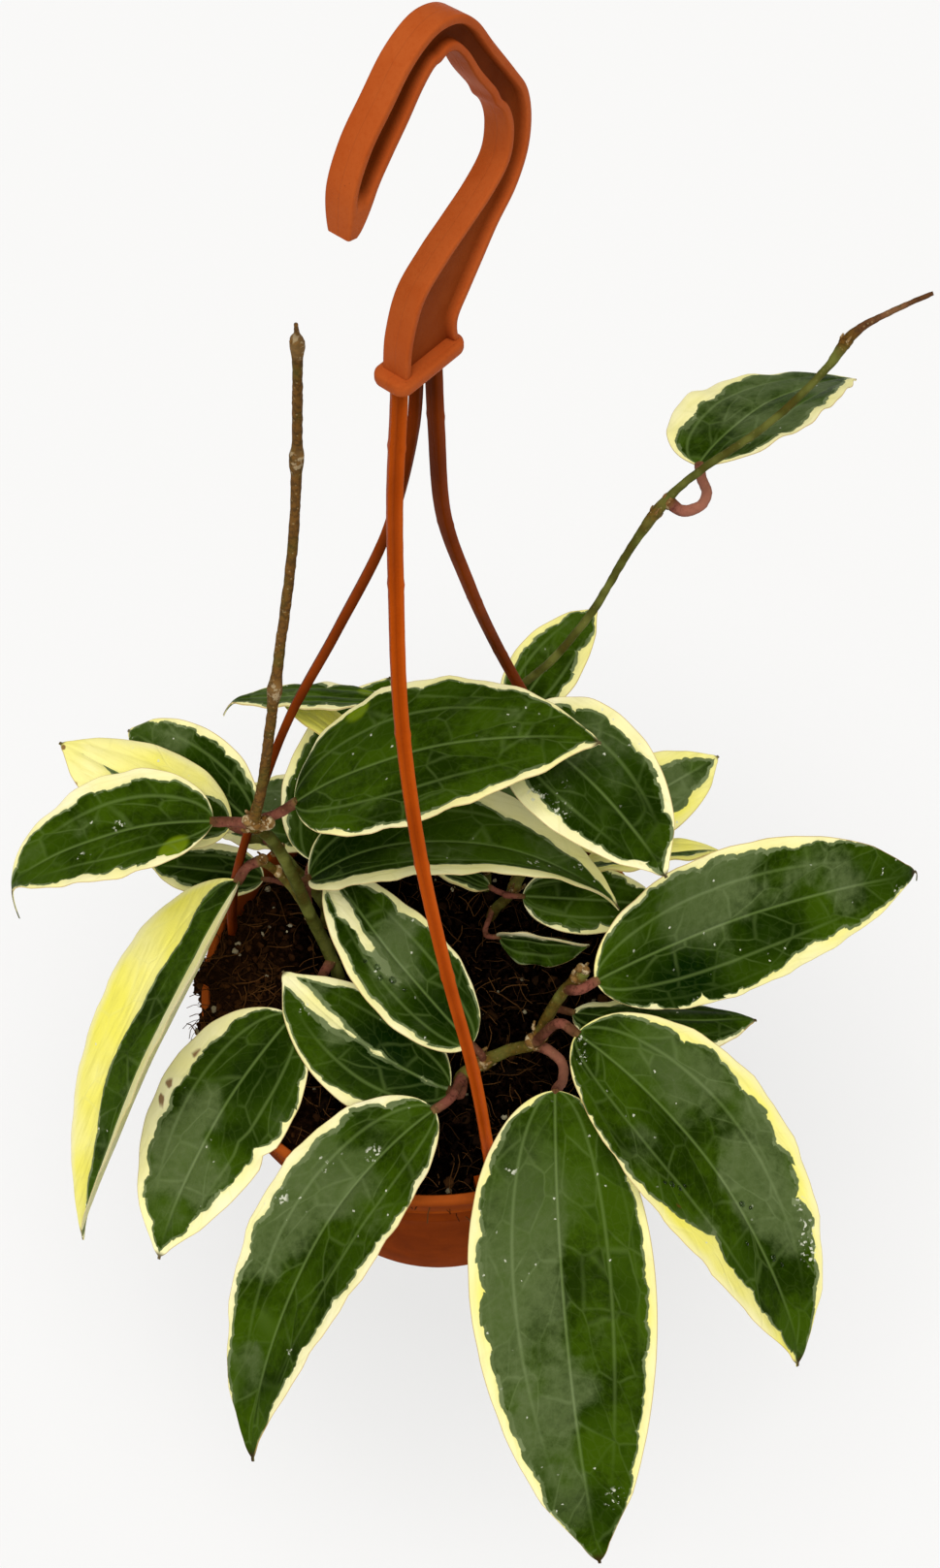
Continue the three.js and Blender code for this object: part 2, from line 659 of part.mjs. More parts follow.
function collar() {
  const x = COLLAR_LENGTH / 2 - COLLAR_CORNER;
  const y = COLLAR_WIDTH / 2 - COLLAR_CORNER;
  const shape = new THREE.Shape();
  [[x, y], [-x, y], [-x, -y], [x, -y]].forEach(([cx, cy], i) => {
    shape.absarc(cx, cy, COLLAR_CORNER, (i * Math.PI) / 2, ((i + 1) * Math.PI) / 2);
  });
  const height = COLLAR_TOP - COLLAR_BOTTOM;
  const geometry = new THREE.ExtrudeGeometry(shape, { depth: height, bevelEnabled: false, curveSegments: 3 });
  return solid(geometry.translate(COLLAR_MIDDLE, 0, COLLAR_BOTTOM));
}

function hook() {
  let body = plate(bandShape(HOOK_OUTER, HOOK_INNER, HOOK_SMOOTH), HOOK_WIDTH, 0);
  const recess = recessShape();
  for (const side of [-1, 1]) {
    body = body.subtract(plate(recess, 2 * HOOK_RECESS, (side * HOOK_WIDTH) / 2));
  }
  body = body.add(collar());
  for (const { top } of Object.values(STRAPS)) {
    const socket = box(SOCKET_WIDTH, SOCKET_WIDTH, 2 * SOCKET_DEPTH, top, 0, COLLAR_BOTTOM);
    body = body.subtract(socket);
  }
  return geometryOf(body);
}

// Assembly

const group = new THREE.Group();
group.position.copy(point(HOOK_BEARING).negate());

function place(name, geometry, material) {
  const mesh = new THREE.Mesh(geometry, material);
  mesh.name = name;
  group.add(mesh);
}

place("pot", pot(), TERRACOTTA);
place("soil", soil(), SOIL);
place("hook", hook(), HANGER_ORANGE);
for (const [name, spec] of Object.entries(STRAPS)) {
  place(name, strap(spec), HANGER_ORANGE);
}
for (const [name, spec] of Object.entries(BRANCHES)) {
  place(name, geometryOf(branch(spec)), STEM);
}
for (const [name, leaf] of Object.entries(LEAVES)) {
  place(name, bladeGeometry(leaf), leaf.yellow ? LEAF_YELLOW : LEAF);
}

export default group;
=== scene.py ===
# Potted variegated hoya in a hanging pot: veined blades, stems, soil, pot, hook and straps over the
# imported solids. Lengths are millimetres from the middle of the pot's underside until place() turns
# them into metres from the point where the hook bears on its rail.
import math

import bmesh
import bpy
import numpy as np
from mathutils import Matrix, Vector


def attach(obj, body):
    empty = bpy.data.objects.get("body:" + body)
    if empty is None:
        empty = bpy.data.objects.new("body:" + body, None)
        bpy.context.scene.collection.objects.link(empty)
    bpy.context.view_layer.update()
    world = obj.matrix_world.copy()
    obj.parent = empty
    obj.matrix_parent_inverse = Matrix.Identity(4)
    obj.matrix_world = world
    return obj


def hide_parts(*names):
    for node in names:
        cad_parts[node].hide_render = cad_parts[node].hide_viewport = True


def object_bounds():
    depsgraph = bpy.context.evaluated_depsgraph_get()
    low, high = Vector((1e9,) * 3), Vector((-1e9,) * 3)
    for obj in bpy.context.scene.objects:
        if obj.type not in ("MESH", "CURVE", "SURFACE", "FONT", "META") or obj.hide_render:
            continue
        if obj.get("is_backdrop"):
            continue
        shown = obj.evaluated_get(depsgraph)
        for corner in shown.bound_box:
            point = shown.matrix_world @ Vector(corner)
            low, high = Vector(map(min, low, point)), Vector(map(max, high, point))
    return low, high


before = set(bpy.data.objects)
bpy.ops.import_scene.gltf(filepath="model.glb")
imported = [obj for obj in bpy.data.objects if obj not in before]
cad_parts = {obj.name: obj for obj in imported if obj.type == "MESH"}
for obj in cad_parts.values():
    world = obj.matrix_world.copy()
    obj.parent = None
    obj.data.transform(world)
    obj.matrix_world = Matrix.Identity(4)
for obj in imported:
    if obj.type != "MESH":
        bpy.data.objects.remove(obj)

bl_info = {
    "name": "Potted hoya",
    "version": (1, 0, 0),
    "blender": (4, 5, 0),
    "location": "3D View > Sidebar > Hoya",
    "description": "Builds a variegated hoya in a hanging pot, piece by piece",
    "category": "Object",
}

CAD_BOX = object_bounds()
BODY = "root"
MM = 0.001
HOOK_BEARING = np.array([7.0, 0.0, 411.5])


# Shader and geometry graphs

class Signal:
    """One output socket, so that maths on it reads as arithmetic."""

    def __init__(self, graph, socket):
        self.graph = graph
        self.socket = socket

    def also(self, name):
        return Signal(self.graph, self.socket.node.outputs[name])

    def math(self, operation, *others):
        values = dict(enumerate((self, *others)))
        return self.graph.node("ShaderNodeMath", {"operation": operation}, values)

    def __add__(self, other):
        return self.math("ADD", other)

    def __radd__(self, other):
        return self + other

    def __sub__(self, other):
        return self.math("SUBTRACT", other)

    def __rsub__(self, other):
        return self.graph.node("ShaderNodeMath", {"operation": "SUBTRACT"}, {0: other, 1: self})

    def __mul__(self, other):
        return self.math("MULTIPLY", other)

    def __abs__(self):
        return self.math("ABSOLUTE")

    def __gt__(self, other):
        return self.math("GREATER_THAN", other)

    def clamp(self):
        return self.graph.node("ShaderNodeClamp", {}, {0: self})

    def rise(self, low, high):
        """0 below low, 1 above high, and smooth between them."""
        settings = {"interpolation_type": "SMOOTHSTEP"}
        return self.graph.node("ShaderNodeMapRange", settings, {0: self, 1: low, 2: high})

    def fall(self, low, high):
        return 1 - self.rise(low, high)


class Graph:
    """A node tree, filled through one method."""

    def __init__(self, tree):
        self.tree = tree

    def node(self, kind, settings, values, output=0):
        made = self.tree.nodes.new(kind)
        for name, value in settings.items():
            setattr(made, name, value)
        for key, value in values.items():
            if isinstance(value, Signal):
                self.tree.links.new(value.socket, made.inputs[key])
            else:
                made.inputs[key].default_value = value
        return Signal(self, made.outputs[output]) if made.outputs else None

    def stored(self, name):
        """A float attribute, in a tree of geometry."""
        return self.node("GeometryNodeInputNamedAttribute", {"data_type": "FLOAT"}, {"Name": name})

    def attribute(self, name, output="Vector"):
        settings = {"attribute_name": name}
        return self.node("ShaderNodeAttribute", settings, {}, output)

    def split(self, vector):
        x = self.node("ShaderNodeSeparateXYZ", {}, {0: vector})
        return x, x.also("Y"), x.also("Z")

    def join(self, x, y, z):
        return self.node("ShaderNodeCombineXYZ", {}, {0: x, 1: y, 2: z})

    def object_coordinates(self):
        return self.node("ShaderNodeTexCoord", {}, {}, "Object")

    def scaled(self, vector, factors):
        return self.node("ShaderNodeVectorMath", {"operation": "MULTIPLY"}, {0: vector, 1: factors})

    def shifted(self, vector, offset):
        return self.node("ShaderNodeVectorMath", {"operation": "ADD"}, {0: vector, 1: offset})

    def noise(self, vector, scale, detail=2.0, roughness=0.5, output="Fac"):
        values = {"Vector": vector, "Scale": scale, "Detail": detail, "Roughness": roughness}
        return self.node("ShaderNodeTexNoise", {}, values, output)

    def cells(self, vector, scale, feature="F1", output="Distance", randomness=1.0):
        settings = {"feature": feature}
        values = {"Vector": vector, "Scale": scale, "Randomness": randomness}
        return self.node("ShaderNodeTexVoronoi", settings, values, output)

    def mix(self, first, second, factor, blend="MIX"):
        settings = {"data_type": "RGBA", "blend_type": blend}
        return self.node("ShaderNodeMix", settings, {0: factor, 6: first, 7: second}, 2)

    def bump(self, height, strength, distance):
        values = {"Strength": strength, "Distance": distance, "Height": height}
        return self.node("ShaderNodeBump", {}, values)

    def surface(self, constants, links):
        """The shader and its output; constants go straight onto its sockets."""
        shader = self.node("ShaderNodeBsdfPrincipled", {}, {**constants, **links})
        self.node("ShaderNodeOutputMaterial", {}, {"Surface": shader})


def new_material(name):
    material = bpy.data.materials.new(name)
    material.use_nodes = True
    material.node_tree.nodes.clear()
    return material, Graph(material.node_tree)


def tint(red, green, blue):
    """A colour given as it looks on screen, 0 to 255, as linear light."""
    def linear(value):
        share = value / 255
        return share / 12.92 if share <= 0.04045 else ((share + 0.055) / 1.055) ** 2.4
    return (linear(red), linear(green), linear(blue), 1.0)


def opaque(colour):
    return (colour[0], colour[1], colour[2], 1.0)


# Meshes

def place(points):
    return (np.asarray(points, dtype=float) - HOOK_BEARING) * MM


def new_object(name, points, faces, material, smooth_angle=None):
    """A smooth piece at the origin, its place in its mesh; points in millimetres."""
    mesh = bpy.data.meshes.new(name)
    mesh.from_pydata(place(points).tolist(), [], faces)
    mesh.materials.append(material)
    mesh.validate()
    mesh.shade_smooth()
    if smooth_angle is not None:
        mesh.set_sharp_from_angle(angle=math.radians(smooth_angle))
    piece = bpy.data.objects.new(name, mesh)
    bpy.context.scene.collection.objects.link(piece)
    return piece


def give_attribute(mesh, name, values):
    values = np.asarray(values, dtype=np.float32)
    kind, key = ("FLOAT_VECTOR", "vector") if values.ndim == 2 else ("FLOAT", "value")
    layer = mesh.attributes.new(name, kind, "POINT")
    layer.data.foreach_set(key, values.ravel())


def loft_faces(rings, count, closed_ends=True):
    """Faces between rings of count points each, wound so that they face outwards."""
    faces = []
    for i in range(rings - 1):
        for j in range(count):
            a = i * count + j
            b = i * count + (j + 1) % count
            faces.append((a, b, b + count, a + count))
    if closed_ends:
        faces.append(tuple(reversed(range(count))))
        last = (rings - 1) * count
        faces.append(tuple(range(last, last + count)))
    return faces


def turn_outwards(mesh):
    """Flips the faces of a closed mesh that encloses a negative volume."""
    shape = bmesh.new()
    shape.from_mesh(mesh)
    volume = shape.calc_volume(signed=True)
    shape.free()
    if volume <= 0:
        mesh.flip_normals()


def settle(piece, *nodes, slot):
    """Attaches a finished piece to the body it rides on and hides the solids it stands for; its finish slot
    is not used.
    """
    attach(piece, BODY)
    if nodes:
        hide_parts(*nodes)


# Leaf blades. Each row: base, heading, pitch, length, width, droop, roll, sweep and cup, as in the
# solids; angles in degrees.

BLADES = {
    "leaf_front": ((-14, -56, 131), -141, -16, 125, 50, 24, 5, 12, 0.1),
    "leaf_front_left": ((-36, -31, 120), 165, -7, 102, 41, 40, 7, 46, 0.2),
    "leaf_front_right": ((0, -52, 139), -86, -5, 109, 48, 45, -1, -27, 0.25),
    "leaf_right": ((13, -48, 146), -20, 1, 107, 43, 14, 47, -14, 0.05),
    "leaf_left_low": ((-39, 21, 116), 180, -7, 77, 40, 26, -6, 18, 0.1),
    "leaf_inner_left": ((-26, -28, 112), 114, 15, 57, 34, 9, -12, -38, -0.1),
    "leaf_inner_middle": ((-15, -27, 123), 91, 26, 67, 30, 18, 0, -19, 0.1),
    "leaf_top": ((-18, 31, 194), -39, 38, 83, 47, 39, -7, -19, 0.05),
    "leaf_curled": ((-15, 33, 150), -37, 41, 91, 37, 82, -12, -37, 0.35),
    "leaf_top_right": ((37, 1, 198), -94, 11, 59, 35, 33, 17, -11, 0.3),
    "leaf_back_right": ((43, -14, 150), -28, 11, 53, 26, 18, 16, 18, 0.05),
    "leaf_right_under": ((43, -20, 138), -41, 16, 42, 20, 26, -33, -3, 0.15),
    "leaf_right_small": ((30, -9, 128), -58, 8, 42, 21, 22, 21, 11, 0.1),
    "leaf_right_low": ((14, -41, 117), -62, 4, 53, 27, 18, -26, 26, -0.2),
    "leaf_small_folded": ((23, -6, 110), -76, 27, 29, 15, 17, 85, 15, 0.5),
    "leaf_small_inner": ((28, 2, 124), 114, 22, 26, 12, 24, 26, -7, 0),
    "leaf_left": ((-34, 46, 189), 128, -1, 60, 33, 31, -3, 23, 0.25),
    "leaf_left_yellow": ((-23, 54, 166), 120, 29, 52, 28, 23, -8, -21, -0.1),
    "leaf_left_back": ((-16, 53, 160), 87, 12, 53, 26, 28, -28, 4, 0.2),
    "leaf_left_under": ((-12, 58, 120), 121, 5, 37, 18, 24, -10, -6, 0.1),
    "leaf_left_folded": ((-30, 46, 154), -173, -21, 114, 54, 29, 44, 4, 0.35),
    "leaf_back_edge": ((26, 37, 188), 128, 8, 47, 21, 24, 33, -3, 0.05),
    "leaf_yellow_tip": ((16, 33, 173), 98, 24, 36, 16, 24, 28, -2, 0.1),
    "leaf_behind_top": ((-8, 39, 145), 22, 33, 60, 30, 27, 2, -9, 0.2),
    "leaf_vine_foot": ((53, 15, 172), -2, 40, 40, 20, 25, 10, -3, 0.15),
    "leaf_vine": ((113, 1, 236), 8, 3, 65, 42, 23, -20, -33, 0.1),
    "leaf_back": ((32, 27, 129), 62, -18, 86, 40, 25, 0, 0, 0.1),
    "leaf_back_low": ((47, 11, 124), 25, -20, 80, 34, 25, 0, 0, 0.1),
    "leaf_back_left": ((18, 50, 118), 98, -17, 69, 33, 25, 0, 0, 0.1),
}

# How each blade is coloured: the pale margin's width in millimetres at six even steps from base to
# tip, on its left side and on its right; then the painted grey sheen of those sides, which also widens
# the grey step, the margin's yellowness and how far the tip hooks down.
PATTERNS = {
    "leaf_front": (
        (0.8, 1.6, 2.2, 2.4, 1.8, -1.6), (0.8, 2.0, 2.4, 2.6, 2.2, -1.2), (0.05, 0.5), 0.6, 1.0),
    "leaf_front_left": (
        (0.5, 0.8, 1.8, 3.2, 2.8, -1.2), (0.6, 2.2, 3.2, 2.0, 0.7, -1.4), (0.12, 0.35), 0.25, 1.5),
    "leaf_front_right": (
        (0.6, 2.2, 4.2, 3.2, 1.8, -0.4), (0.6, 0.6, 1.6, 8.0, 5.0, 0.6), (0.35, 0.1), 0.75, 1.5),
    "leaf_right": (
        (0.6, 0.9, 1.9, 2.8, 0.4, -1.0), (0.7, 0.5, 0.4, 4.4, 2.8, -0.6), (0.2, 0.05), 0.5, 3.7),
    "leaf_left_low": (
        (0.8, 1.0, 1.4, 4.0, 3.6, 1.2), (0.8, 4.6, 5.2, 4.0, 2.4, 0.9), (0.1, 0.2), 0.3, 1.5),
    "leaf_inner_left": (
        (1.0, 4.4, 2.6, 0.8, 0.6, 0.6), (0.8, 1.3, 1.4, 1.4, 2.6, 1.6), (0.05, 0.05), 0.35, 0.5),
    "leaf_inner_middle": (
        (0.8, 1.6, 1.6, 1.8, 1.6, 1.0), (0.6, 0.8, 1.4, 2.0, 2.4, 1.6), (0.1, 0.1), 0.3, 0.5),
    "leaf_top": (
        (0.8, 1.9, 2.4, 2.0, 1.4, 0.5), (0.6, 1.0, 1.4, 2.0, 2.4, 0.6), (0.1, 0.2), 0.4, 0.8),
    "leaf_curled": (
        (0.8, 1.2, 3.4, 6.4, 5.4, 0.8), (1.6, 4.8, 5.6, 5.4, 4.0, 1.0), (0.2, 0.2), 0.4, 1.0),
    "leaf_top_right": (
        (0.8, 2.6, 3.4, 2.6, 1.6, 0.5), (0.8, 4.4, 4.8, 3.4, 1.4, 0.5), (0.25, 0.2), 0.3, 1.0),
    "leaf_back_right": (
        (0.8, 2.6, 4.4, 4.4, 3.4, 1.4), (0.8, 2.0, 3.2, 3.6, 3.0, 1.0), (0.6, 0.6), 0.7, 0.8),
    "leaf_right_under": (
        (2.0, 9.0, 10.0, 10.0, 9.0, 3.0), (2.0, 6.0, 4.5, 3.5, 2.0, 0.6), (0.4, 0.4), 0.8, 0.5),
    "leaf_right_small": (
        (0.5, 1.0, 1.4, 1.4, 1.2, 0.4), (0.5, 1.0, 1.4, 1.4, 1.2, 0.4), (0.3, 0.3), 0.2, 0.4),
    "leaf_right_low": (
        (4.0, 6.5, 1.2, 1.0, 0.8, 0.3), (0.4, 0.9, 1.0, 1.4, 1.2, 0.3), (0.25, 0.25), 0.3, 0.8),
    "leaf_small_folded": (
        (1.0, 2.6, 3.4, 3.4, 2.4, 1.0), (-1.0, -1.0, -1.0, -1.0, -1.0, -1.0), (0.35, 0.35), 0.2, 0.4),
    "leaf_small_inner": (
        (0.4, 0.8, 1.2, 1.2, 0.9, 0.4), (0.4, 0.8, 1.2, 1.2, 0.9, 0.4), (0.3, 0.3), 0.6, 0.3),
    "leaf_left": (
        (0.6, 1.8, 2.6, 1.8, 1.0, 0.3), (0.8, 2.6, 3.4, 3.0, 1.8, 0.4), (0.05, 0.2), 0.3, 3.0),
    "leaf_left_yellow": (
        (1.0, 5.0, 9.0, 11.0, 9.0, 3.0), (1.0, 6.0, 10.0, 14.0, 14.0, 4.0), (0.4, 0.4), 0.7, 1.0),
    "leaf_left_back": (
        (0.6, 1.2, 1.6, 1.6, 1.2, 0.5), (0.6, 1.4, 2.0, 1.8, 1.4, 0.5), (0.4, 0.3), 0.4, 0.8),
    "leaf_left_under": (
        (0.5, 1.4, 2.4, 2.0, 1.4, 0.4), (0.5, 1.4, 2.4, 2.0, 1.4, 0.4), (0.3, 0.3), 0.4, 0.4),
    "leaf_left_folded": (
        (1.5, 15.5, 16.0, 12.5, 12.0, 4.0), (10.0, 26.0, 29.0, 26.5, 20.0, 6.0), (0.3, 0.3), 0.85, 1.2),
    "leaf_back_edge": (
        (0.4, 0.9, 1.2, 1.0, 0.8, 0.3), (0.4, 0.9, 1.2, 1.0, 0.8, 0.3), (0.2, 0.2), 0.3, 2.5),
    "leaf_yellow_tip": (
        (9.0, 9.0, 9.0, 9.0, 9.0, 2.0), (9.0, 9.0, 9.0, 9.0, 9.0, 2.0), (0.2, 0.2), 1.3, 0.5),
    "leaf_behind_top": (
        (0.6, 1.2, 2.0, 2.4, 2.2, 0.8), (0.6, 1.2, 1.8, 2.0, 1.8, 0.8), (0.2, 0.2), 0.3, 0.6),
    "leaf_vine_foot": (
        (0.6, 1.6, 2.2, 2.0, 1.4, 0.5), (0.6, 1.8, 2.4, 2.0, 1.4, 0.5), (0.2, 0.3), 0.6, 0.5),
    "leaf_vine": (
        (1.0, 5.0, 7.5, 2.6, 1.0, 1.8), (1.0, 1.4, 1.8, 2.6, 3.6, 2.0), (0.4, 0.4), 0.4, 0.6),
    "leaf_back": (
        (0.8, 2.2, 3.0, 3.0, 2.0, 0.5), (0.8, 1.6, 3.4, 2.6, 1.8, 0.5), (0.4, 0.3), 0.4, 1.0),
    "leaf_back_low": (
        (0.8, 1.8, 2.6, 3.0, 2.0, 0.5), (0.8, 2.2, 2.8, 2.4, 1.8, 0.5), (0.3, 0.4), 0.3, 1.0),
    "leaf_back_left": (
        (0.8, 1.8, 2.4, 2.8, 2.0, 0.5), (0.8, 2.0, 3.2, 2.4, 1.8, 0.5), (0.4, 0.5), 0.5, 1.0),
}

# A blade whose green is only a band: its two rows say how far from the right edge the band starts and ends.
BANDED = {"leaf_left_folded"}

# How ragged the margin's inner line is, where it is calmer than usual.
RAGGED = {"leaf_left_folded": 0.3, "leaf_curled": 0.4, "leaf_top": 0.65, "leaf_left_under": 0.6,
          "leaf_inner_left": 0.5, "leaf_inner_middle": 0.6, "leaf_front": 0.8}

# Painted grey sheen, and a lime flush wherever the strength is below zero: place across and along, radius and
# strength.
SHEEN_AND_LIME = {
    "leaf_front": [(-0.1, 0.68, 14, 0.25), (-0.4, 0.36, 14, 0.25), (-0.45, 0.2, 12, 0.35),
                   (0.05, 0.47, 11, 0.5), (0.1, 0.64, 10, 0.4)],
    "leaf_front_left": [(-0.3, 0.3, 13, 0.45), (-0.5, 0.5, 12, 0.35)],
    "leaf_front_right": [(0.35, 0.52, 14, 0.6), (0.9, 0.49, 8, 0.2), (0.65, 0.28, 10, 0.35),
                         (0.55, 0.66, 9, 0.4), (-0.65, 0.33, 7, 0.6), (-0.55, 0.55, 6, 0.45),
                         (-0.1, 0.45, 5, -0.3)],
    "leaf_right": [(0.5, 0.44, 13, 0.7), (-0.05, 0.57, 8, 0.45), (0.4, 0.32, 9, 0.3), (0.2, 0.76, 13, 0.55)],
    "leaf_left_low": [(-0.5, 0.6, 9, 0.6), (0.15, 0.7, 10, 0.55), (-0.15, 0.42, 9, 0.3)],
    "leaf_inner_left": [(0.2, 0.62, 6, 0.65), (-0.2, 0.8, 5, 0.5)],
    "leaf_inner_middle": [(0.05, 0.52, 7, 0.6), (-0.6, 0.6, 5, 0.5)],
    "leaf_top": [(0.2, 0.72, 9, 0.15), (0.88, 0.26, 4.5, -1.3)],
    "leaf_left": [(0.7, 0.16, 4.5, -1.5)],
    "leaf_vine": [(0.1, 0.45, 26, 0.3)],
    "leaf_back_edge": [(-0.5, 0.15, 4, -1.2)],
}

# The deepest greens, given in the same way.
DEEP = {
    "leaf_right": [(-0.5, 0.25, 17, 1.2), (-0.35, 0.5, 13, 0.8), (0.1, 0.9, 10, 0.6)],
    "leaf_front_right": [(-0.15, 0.3, 7, 0.4), (0.0, 0.72, 7, 0.5)],
    "leaf_left_low": [(0.2, 0.3, 13, 0.8), (0.5, 0.45, 8, 0.7)],
    "leaf_inner_left": [(-0.2, 0.38, 14, 1.2), (0.1, 0.15, 12, 1.0)],
    "leaf_inner_middle": [(0.1, 0.2, 16, 1.0), (0.6, 0.6, 9, 0.7)],
    "leaf_top_right": [(0.0, 0.4, 26, 0.7)],
    "leaf_left_back": [(0.0, 0.4, 26, 0.7)],
    "leaf_left_under": [(0.0, 0.4, 20, 0.6)],
    "leaf_behind_top": [(0.0, 0.4, 30, 0.5)],
    "leaf_right_low": [(0.0, 0.5, 30, 0.5)],
    "leaf_curled": [(0.3, 0.15, 18, 0.8)],
    "leaf_front_left": [(0.2, 0.5, 9, 0.3)],
}

# Cream streaks on the green: place across and along, half the width and half the length.
STREAKS = {
    "leaf_inner_left": [(0.02, 0.86, 2.0, 13.0), (0.0, 0.7, 0.15, 9.0)],
    "leaf_inner_middle": [(0.3, 0.74, 1.3, 14.0), (0.42, 0.88, 2.0, 9.0)],
}

# Nicks in the outline: the side, the place along the blade, the depth and the length of each.
NICKS = {
    "leaf_left_low": [(1, 0.5, 2.2, 0.03)],
    "leaf_right": [(1, 0.38, 0.7, 0.012)],
    "leaf_front_right": [(-1, 0.62, 0.6, 0.02)],
}

# Brown marks: the place across and along the blade, and the radius of each.
MARKS = {
    "leaf_left_low": [(-0.8, 0.31, 1.3), (-0.86, 0.44, 1.4), (-0.88, 0.5, 1.0), (-0.82, 0.53, 0.7)],
    "leaf_front_right": [(-0.72, 0.46, 0.9), (-0.7, 0.475, 0.6)],
    "leaf_curled": [(0.82, 0.62, 0.9), (0.78, 0.72, 0.8), (0.88, 0.78, 1.0)],
    "leaf_left_yellow": [(0.5, 0.97, 0.8)],
    "leaf_yellow_tip": [(0.0, 0.99, 1.2)],
}

# Chalky patches that dried water leaves, given in the same way.
CHALK = {
    "leaf_front": [(0.62, 0.86, 3.0), (-0.6, 0.17, 2.0)],
    "leaf_front_left": [(-0.1, 0.2, 2.6), (-0.45, 0.3, 2.2), (-0.75, 0.42, 2.4), (0.5, 0.72, 1.6)],
    "leaf_front_right": [(-0.5, 0.05, 2.2), (-0.1, 0.02, 1.8), (0.78, 0.66, 2.2),
                         (0.76, 0.72, 3.0), (0.74, 0.77, 2.8)],
    "leaf_top_right": [(-0.72, 0.36, 3.0), (-0.66, 0.5, 3.2), (-0.3, 0.4, 1.8)],
    "leaf_left": [(-0.1, 0.42, 1.8), (0.3, 0.6, 1.4)],
    "leaf_curled": [(-0.3, 0.72, 2.4), (0.4, 0.84, 2.0)],
    "leaf_right": [(-0.6, 0.92, 1.6), (0.3, 0.88, 1.6), (-0.9, 0.26, 1.8)],
    "leaf_inner_left": [(0.3, 0.8, 2.0)],
}

# Water drops: the blade, the place across and along it, and the radius.
DROPS = [
    ("leaf_front_right", -0.6, 0.425, 0.9), ("leaf_front_right", -0.66, 0.41, 0.6),
    ("leaf_front_right", -0.55, 0.445, 0.7), ("leaf_front_right", -0.47, 0.45, 0.5),
    ("leaf_front_right", -0.62, 0.455, 0.5), ("leaf_front_right", 0.05, 0.58, 0.8),
    ("leaf_front_right", 0.12, 0.6, 0.5), ("leaf_front_right", -0.2, 0.66, 0.6),
    ("leaf_front_right", 0.1, 0.73, 0.9), ("leaf_front_right", 0.2, 0.755, 0.6),
    ("leaf_inner_middle", 0.34, 0.42, 1.0), ("leaf_inner_middle", 0.5, 0.46, 0.8),
    ("leaf_inner_middle", 0.42, 0.5, 0.9), ("leaf_inner_middle", 0.28, 0.36, 0.6),
    ("leaf_inner_middle", 0.55, 0.55, 0.6),
]

YELLOW_BLADES = {"leaf_left_yellow", "leaf_left_folded", "leaf_yellow_tip"}
BASE_POWER = 0.55
TIP_POWER = 0.8
WIDEST = BASE_POWER / (BASE_POWER + TIP_POWER)
FULL = WIDEST ** BASE_POWER * (1 - WIDEST) ** TIP_POWER
ARCH = 0.52
# A tip that hooks down by more millimetres than this is drawn out into a long tail.
LONG_TAIL = 2.5
BLADE_ROWS = 60
ACROSS = np.array([0, 0.02, 0.045, 0.08, 0.13, 0.19, 0.26, 0.33, 0.4, 0.46, 0.52, 0.58, 0.65, 0.72, 0.79,
                   0.85, 0.9, 0.94, 0.97, 0.987, 0.996, 1.0])


class Blade:
    """The middle surface of one blade, as the solids have it, and its outline."""

    def __init__(self, name):
        base, heading, pitch, self.length, self.width, droop, roll, sweep, self.cup = BLADES[name]
        h, p = math.radians(heading), math.radians(pitch)
        self.base = np.array(base, dtype=float)
        self.forward = np.array([math.cos(h) * math.cos(p), math.sin(h) * math.cos(p), math.sin(p)])
        self.up = np.array([-math.cos(h) * math.sin(p), -math.sin(h) * math.sin(p), math.cos(p)])
        self.left = np.cross(self.up, self.forward)
        self.bend = math.radians(droop or 1e-3)
        self.turn = math.radians(sweep or 1e-3)
        self.roll = math.radians(roll)
        self.nicks = NICKS.get(name, [])

    def half_width(self, t, side):
        """Half the width at t, drawn out to a fine tip, with the nicks of that side."""
        w = self.width / 2 * t ** BASE_POWER * np.clip(1 - t, 0, 1) ** TIP_POWER / FULL
        w = w * (1 - 0.22 * np.clip((t - 0.86) / 0.1, 0, 1) * np.clip((1 - t) / 0.04, 0, 1))
        for nick_side, at, depth, spread in self.nicks:
            if nick_side == side:
                w = w - depth * np.exp(-(((t - at) / spread) ** 2))
        return np.maximum(w, np.where(t < 0.5, 0.8, 0.45 - np.clip((t - 1) * 3, 0, 0.28)))

    def widths(self, t, u):
        return np.where(u >= 0, self.half_width(t, 1), self.half_width(t, -1))

    def points(self, t, u, w, lift):
        bt, tt = self.bend * t, self.turn * t
        col = (slice(None),) * t.ndim + (None,)
        along = (self.length * np.sin(bt) / self.bend)[col]
        down = (self.length * (1 - np.cos(bt)) / self.bend)[col]
        aside = (self.length * (1 - np.cos(tt)) / self.turn)[col]
        tangent = self.forward * np.cos(bt)[col] - self.up * np.sin(bt)[col]
        normal = self.up * np.cos(bt)[col] + self.forward * np.sin(bt)[col]
        across = self.left * np.cos(tt)[col] - tangent * np.sin(tt)[col]
        side = across * math.cos(self.roll) + normal * math.sin(self.roll)
        face = normal * math.cos(self.roll) - across * math.sin(self.roll)
        middle = self.base + self.forward * along - self.up * down + self.left * aside
        return middle + side * (w * u)[col] + face * (w * self.cup * np.abs(u) ** 1.5 + lift)[col]


